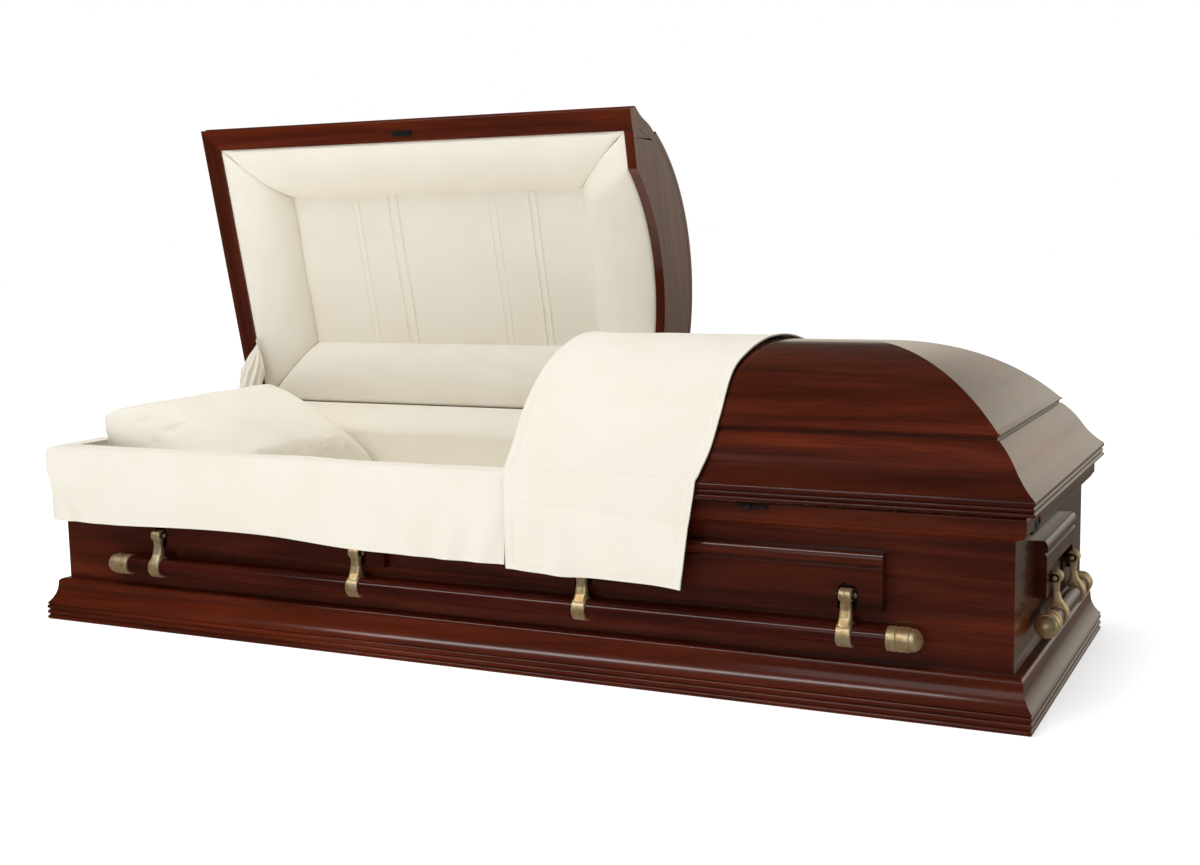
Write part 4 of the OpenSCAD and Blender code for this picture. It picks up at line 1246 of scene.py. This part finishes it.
@dataclass
class Handle:
    """A wooden bar with brass tips, hung on brass arms from brackets in one side."""

    finishes: Finishes
    side: Side
    length: float
    arms: tuple[float, ...]
    pivot: tuple[float, float] = (0.025, 0.207)
    hang: tuple[float, float] = (0.026, 0.139)
    bar_r: float = 0.018
    bar_short: float = 0.0201
    tip_r: float = 0.0215
    tip_l: float = 0.060

    def build(self) -> None:
        """Makes the bar, the arms with the tips, and the heads of the hinge pins."""
        name = self.side.label
        body = f"{name}_handle"
        half, r = self.length / 2 - self.bar_short, self.bar_r
        bar = self.turned("bar", np.array([[0, -half], [r, -half], [r, half], [0, half]]), 0.0, self.hang)
        lay_grain(bar, self.side.grain)
        bar.name = f"{name}_bar_turned"
        self.finishes.dress(bar, Slot.BAR_WOOD, body, f"{name}_bar")
        parts = [part for a in self.arms for part in self.arm(a)] + [self.tip(s) for s in (-1, 1)]
        brass = joined(f"{name}_handle_brass", parts)
        self.finishes.dress(brass, Slot.BRASS, body, f"{name}_bar_brass")
        heads = joined(f"{name}_pin_heads", [self.pin_head(a, s) for a in self.arms for s in (-1, 1)])
        self.finishes.dress(heads, Slot.BRASS, "casket")
        self.finishes.recoat(f"{name}_ears", Slot.BRONZE)

    def turned(self, name: str, profile: np.ndarray, along: float,
               centre: tuple[float, float]) -> bpy.types.Object:
        """Turns a profile of (radius, distance along) round a line parallel to the side."""
        place = self.side.place(np.array(along), np.array(S.board_in - centre[0]), np.array(centre[1]))
        return lathe(name, profile, place, self.side.value[0])

    def arm(self, a: float) -> list[bpy.types.Object]:
        """An eye on the pin, a waisted shank with a groove down its face, and a collar round the bar."""
        eye = line((3.6, -11.5), (10.6, -11.5, 0.5), (12, -9.6, 0.8), (12, -1.2, 0.3), (11.6, -0.6),
                   (11.6, 0.6), (12, 1.2, 0.3), (12, 9.6, 0.8), (10.6, 11.5, 0.5), (3.6, 11.5))
        collar = line((18.05, -13.5), (20.6, -13.5, 0.5), (21.6, -12.4, 0.5), (22.0, -11.0, 0.5),
                      (22.0, 11.0, 0.5), (21.6, 12.4, 0.5), (20.6, 13.5, 0.5), (18.05, 13.5))
        return [self.turned("eye", outline(eye, steps=3) * MM, a, self.pivot), self.shank(a),
                self.turned("collar", outline(collar, steps=3) * MM, a, self.hang)]

    def shank(self, a: float) -> bpy.types.Object:
        """Rings |x/w|^6 + |d/t|^4 = 1 down an S-shaped line, with a shallow groove down the front."""
        round_ring = np.linspace(0, 2 * math.pi, 56, endpoint=False)
        v, q = np.meshgrid(np.linspace(0, 1, 34), round_ring, indexing="ij")
        wide = np.interp(v, [0, 0.12, 0.4, 1], [10.4, 9.4, 10.0, 12.6]) * MM
        front = np.interp(v, [0, 0.15, 0.45, 0.75, 1], [8.5, 6.6, 5.4, 9.5, 17.0]) * MM
        rear = np.interp(v, [0, 0.15, 0.45, 0.75, 1], [-8.0, -6.0, -4.6, -5.2, -12.0]) * MM
        c, s = np.cos(q), np.sin(q)
        x = wide * np.sign(c) * np.abs(c) ** (1 / 3)
        blend = np.sign(s) * np.abs(s) ** 0.5
        middle, depth = (front + rear) / 2, (front - rear) / 2
        fade = np.sin(math.pi * np.clip(v * 1.05, 0, 1)) ** 0.5
        groove = 0.0011 * np.exp(-((x / 0.0011) ** 2)) * (s > 0) * fade
        out = middle + depth * blend - groove
        z = self.pivot[1] - 0.006 + (self.hang[1] + 0.016 - self.pivot[1] + 0.006) * v
        return tube("shank", self.side.place(a + x, S.board_in - self.pivot[0] - out, z))

    def tip(self, way: int) -> bpy.types.Object:
        """A turned cap: two plain rings parted by a groove, a narrower ring and a low dome."""
        r = self.tip_r / MM
        rings = line((18.05, 0), (r - 0.9, 0, 0.4), (r, 0.9, 0.4), (r, 15.6, 0.4), (r - 0.8, 16.4, 0.3),
                     (r - 2.0, 16.5), (r - 2.0, 18.2), (r - 0.8, 18.3, 0.3), (r, 19.1, 0.4), (r, 38.2, 0.5),
                     (r - 0.8, 39.6, 0.4), (r - 1.9, 39.8), (r - 1.9, 46.5, 0.6))
        dome = arc((r - 2.2, 47.6), (0.01, 60), 58, 14)
        profile = outline(rings, dome, line((0.01, 40.1), (18.05, 40.1)), steps=3) * MM
        profile = np.stack([profile[:, 0], way * (self.length / 2 - self.tip_l + profile[:, 1])], -1)
        return self.turned("tip", profile, 0.0, self.hang)

    def pin_head(self, a: float, way: int) -> bpy.types.Object:
        """The domed head of a hinge pin on the outside of its bracket."""
        dome = np.concatenate([[[0.01, 16.0], [4.6, 16.0]], arc((4.6, 17.0), (0.01, 18.4), 70, 6)]) * MM
        return self.turned("pin_head", np.stack([dome[:, 0], way * dome[:, 1] + a], -1), 0.0, self.pivot)


# ------------------------------------------------------------------ studio


@dataclass(frozen=True)
class Softbox:
    """A square or oblong studio light aimed at a point."""

    name: str
    place: tuple[float, float, float]
    aim: tuple[float, float, float]
    size: tuple[float, float]
    power: float
    mirrored: bool = False

    def hang(self) -> None:
        """Adds the light to the scene."""
        light = bpy.data.lights.new(self.name, "AREA")
        light.shape, light.size, light.size_y = "RECTANGLE", *self.size
        light.energy = self.power
        obj = bpy.data.objects.new(self.name, light)
        obj.location = self.place
        obj.rotation_euler = (Vector(self.aim) - Vector(self.place)).to_track_quat("-Z", "Y").to_euler()
        obj.visible_glossy = self.mirrored
        bpy.context.scene.collection.objects.link(obj)


@dataclass
class Studio:
    """A white floor, a pale surround and soft lights, with the camera before the front right corner."""

    position: tuple[float, float, float] = (1.5173, -2.8808, 0.8297)
    yaw: float = 25.911
    pitch: float = 7.37
    roll: float = -1.081
    lens: float = 46.97
    lights: tuple[Softbox, ...] = field(default_factory=lambda: (
        Softbox("key", (-1.6, -3.4, 3.3), (0.0, 0.0, 0.3), (3.2, 0.5), 34.0, True),
        Softbox("front_fill", (0.9, -4.6, 1.5), (0.0, 0.0, 0.4), (4.0, 1.6), 19.0, True),
        Softbox("overhead", (0.2, -0.2, 3.6), (0.0, -0.2, 0.3), (4.6, 1.6), 38.0),
        Softbox("sky_fill", (-0.4, -0.9, 3.4), (-0.3, 0.0, 0.3), (4.0, 3.0), 70.0),
    ))

    def build(self) -> None:
        """Makes the camera, the lights, the floor and the surround."""
        self.camera()
        for light in self.lights:
            light.hang()
        self.floor()
        self.surround()

    def camera(self) -> None:
        """Turns the camera by its yaw and pitch, then rolls it about the line of sight."""
        yaw, pitch, roll = (math.radians(v) for v in (self.yaw, self.pitch, self.roll))
        ahead = Vector((-math.sin(yaw) * math.cos(pitch), math.cos(yaw) * math.cos(pitch), -math.sin(pitch)))
        right = Vector((math.cos(yaw), math.sin(yaw), 0))
        up = right.cross(ahead)
        right, up = math.cos(roll) * right + math.sin(roll) * up, math.cos(roll) * up - math.sin(roll) * right
        data = bpy.data.cameras.new("camera")
        data.lens, data.sensor_width, data.sensor_fit = self.lens, 36.0, "HORIZONTAL"
        data.clip_start, data.clip_end = 0.05, 100.0
        obj = bpy.data.objects.new("camera", data)
        turn = Matrix((right, up, -ahead)).transposed().to_4x4()
        obj.matrix_world = Matrix.Translation(self.position) @ turn
        bpy.context.scene.collection.objects.link(obj)
        bpy.context.scene.camera = obj

    @staticmethod
    def floor() -> None:
        """A wide matt white floor that the lacquer doesn't mirror; it glows with painted light, dimmer near
        the casket.
        """
        mesh = bpy.data.meshes.new("floor")
        mesh.from_pydata([(-20, -20, 0), (20, -20, 0), (20, 20, 0), (-20, 20, 0)], [], [(0, 1, 2, 3)])
        obj = bpy.data.objects.new("floor", mesh)
        bpy.context.scene.collection.objects.link(obj)
        material, tree, shader = blank("white_floor")
        shader.inputs["Base Color"].default_value = (0.9, 0.9, 0.9, 1)
        shader.inputs["Roughness"].default_value = 0.9
        shader.inputs["Specular IOR Level"].default_value = 0.0
        shader.inputs["Emission Color"].default_value = (1, 1, 1, 1)
        # Painted light: the floor glows at 0.66 within 1.3 m of the middle, rising to full glow at 3.2 m and
        # beyond.
        place = add_node(tree, "ShaderNodeTexCoord").outputs["Object"]
        away = add_node(tree, "ShaderNodeVectorMath", links={0: place}, operation="LENGTH").outputs["Value"]
        span = {"From Min": 1.3, "From Max": 3.2, "To Min": 0.66, "To Max": 1.0}
        glow = add_node(tree, "ShaderNodeMapRange", span, {"Value": away}).outputs[0]
        tree.links.new(glow, shader.inputs["Emission Strength"])
        mesh.materials.append(material)
        obj.visible_glossy = False

    @staticmethod
    def surround() -> None:
        """A surround with a bright band low down behind the casket, dim elsewhere, and white to the eye."""
        world = bpy.data.worlds.new("surround")
        bpy.context.scene.world = world
        world.use_nodes = True
        tree = world.node_tree
        tree.nodes.clear()
        way = add_node(tree, "ShaderNodeTexCoord").outputs["Generated"]
        parts = add_node(tree, "ShaderNodeSeparateXYZ", links={0: way})
        # The band is full towards +Y, fades out above it and fades to a tenth below the horizon.
        fades = []
        for axis, start, stop, first, last in (("Y", 0.1, 0.7, 0.0, 1.0), ("Z", 0.19, 0.31, 1.0, 0.06),
                                               ("Z", -0.16, 0.12, 0.10, 1.0)):
            span = {"From Min": start, "From Max": stop, "To Min": first, "To Max": last}
            fade = add_node(tree, "ShaderNodeMapRange", span, {"Value": parts.outputs[axis]})
            fades.append(fade.outputs[0])
        band = fades[0]
        for fade in fades[1:]:
            band = add_node(tree, "ShaderNodeMath", links={0: band, 1: fade}, operation="MULTIPLY").outputs[0]
        level = add_node(tree, "ShaderNodeMath", {1: 0.85, 2: 0.035}, {0: band}, operation="MULTIPLY_ADD")
        warm = {"Color": (1, 0.92, 0.76, 1)}
        soft = add_node(tree, "ShaderNodeBackground", warm, {"Strength": level.outputs[0]})
        plain = add_node(tree, "ShaderNodeBackground", {"Color": (1, 1, 1, 1), "Strength": 1.0})
        seen = add_node(tree, "ShaderNodeLightPath").outputs["Is Camera Ray"]
        mixed = add_node(tree, "ShaderNodeMixShader",
                         links={0: seen, 1: soft.outputs[0], 2: plain.outputs[0]})
        add_node(tree, "ShaderNodeOutputWorld", links={"Surface": mixed.outputs[0]})
        bpy.context.scene.view_settings.view_transform = "Standard"


def opening(joint: str) -> Matrix:
    """The turn from a lid's closed place, at its joint's upper limit, back to its place at rest."""
    found = next(j for j in frame["joints"] if j["name"] == joint)
    pin = Matrix.Translation(found["pos_m"])
    turn = Matrix.Rotation(math.radians(-found["range_deg"][1]), 4, Vector(found["axis"]))
    return pin @ turn @ pin.inverted()


def main() -> None:
    """Builds the casket piece by piece, then the studio round it."""
    logging.basicConfig(level=logging.INFO, format="%(name)s: %(message)s")
    finishes = Finishes()
    Box(finishes).build()
    Lid(finishes, "head_lid", Side.HEAD, S.head_cut, opening("head_lid_hinge")).build()
    Lid(finishes, "foot_lid", Side.FOOT, S.foot_cut, Matrix.Identity(4)).build()
    Interior(finishes).build()
    Throw(finishes).build()
    for side in (Side.FRONT, Side.BACK):
        Handle(finishes, side, 1.770, S.side_arms).build()
    for side in (Side.HEAD, Side.FOOT):
        Handle(finishes, side, 0.416, S.end_arms).build()
    for end in ("head", "foot"):
        finishes.recoat(f"{end}_hinge_knuckles", Slot.BRASS)
        finishes.recoat(f"{end}_lid_hinge_leaves", Slot.BRASS)
    for node in ("front_latch", "lock_plate", "head_lid_keeper"):
        finishes.recoat(node, Slot.BLACK)
    Studio().build()


if __name__ == "__main__":
    main()
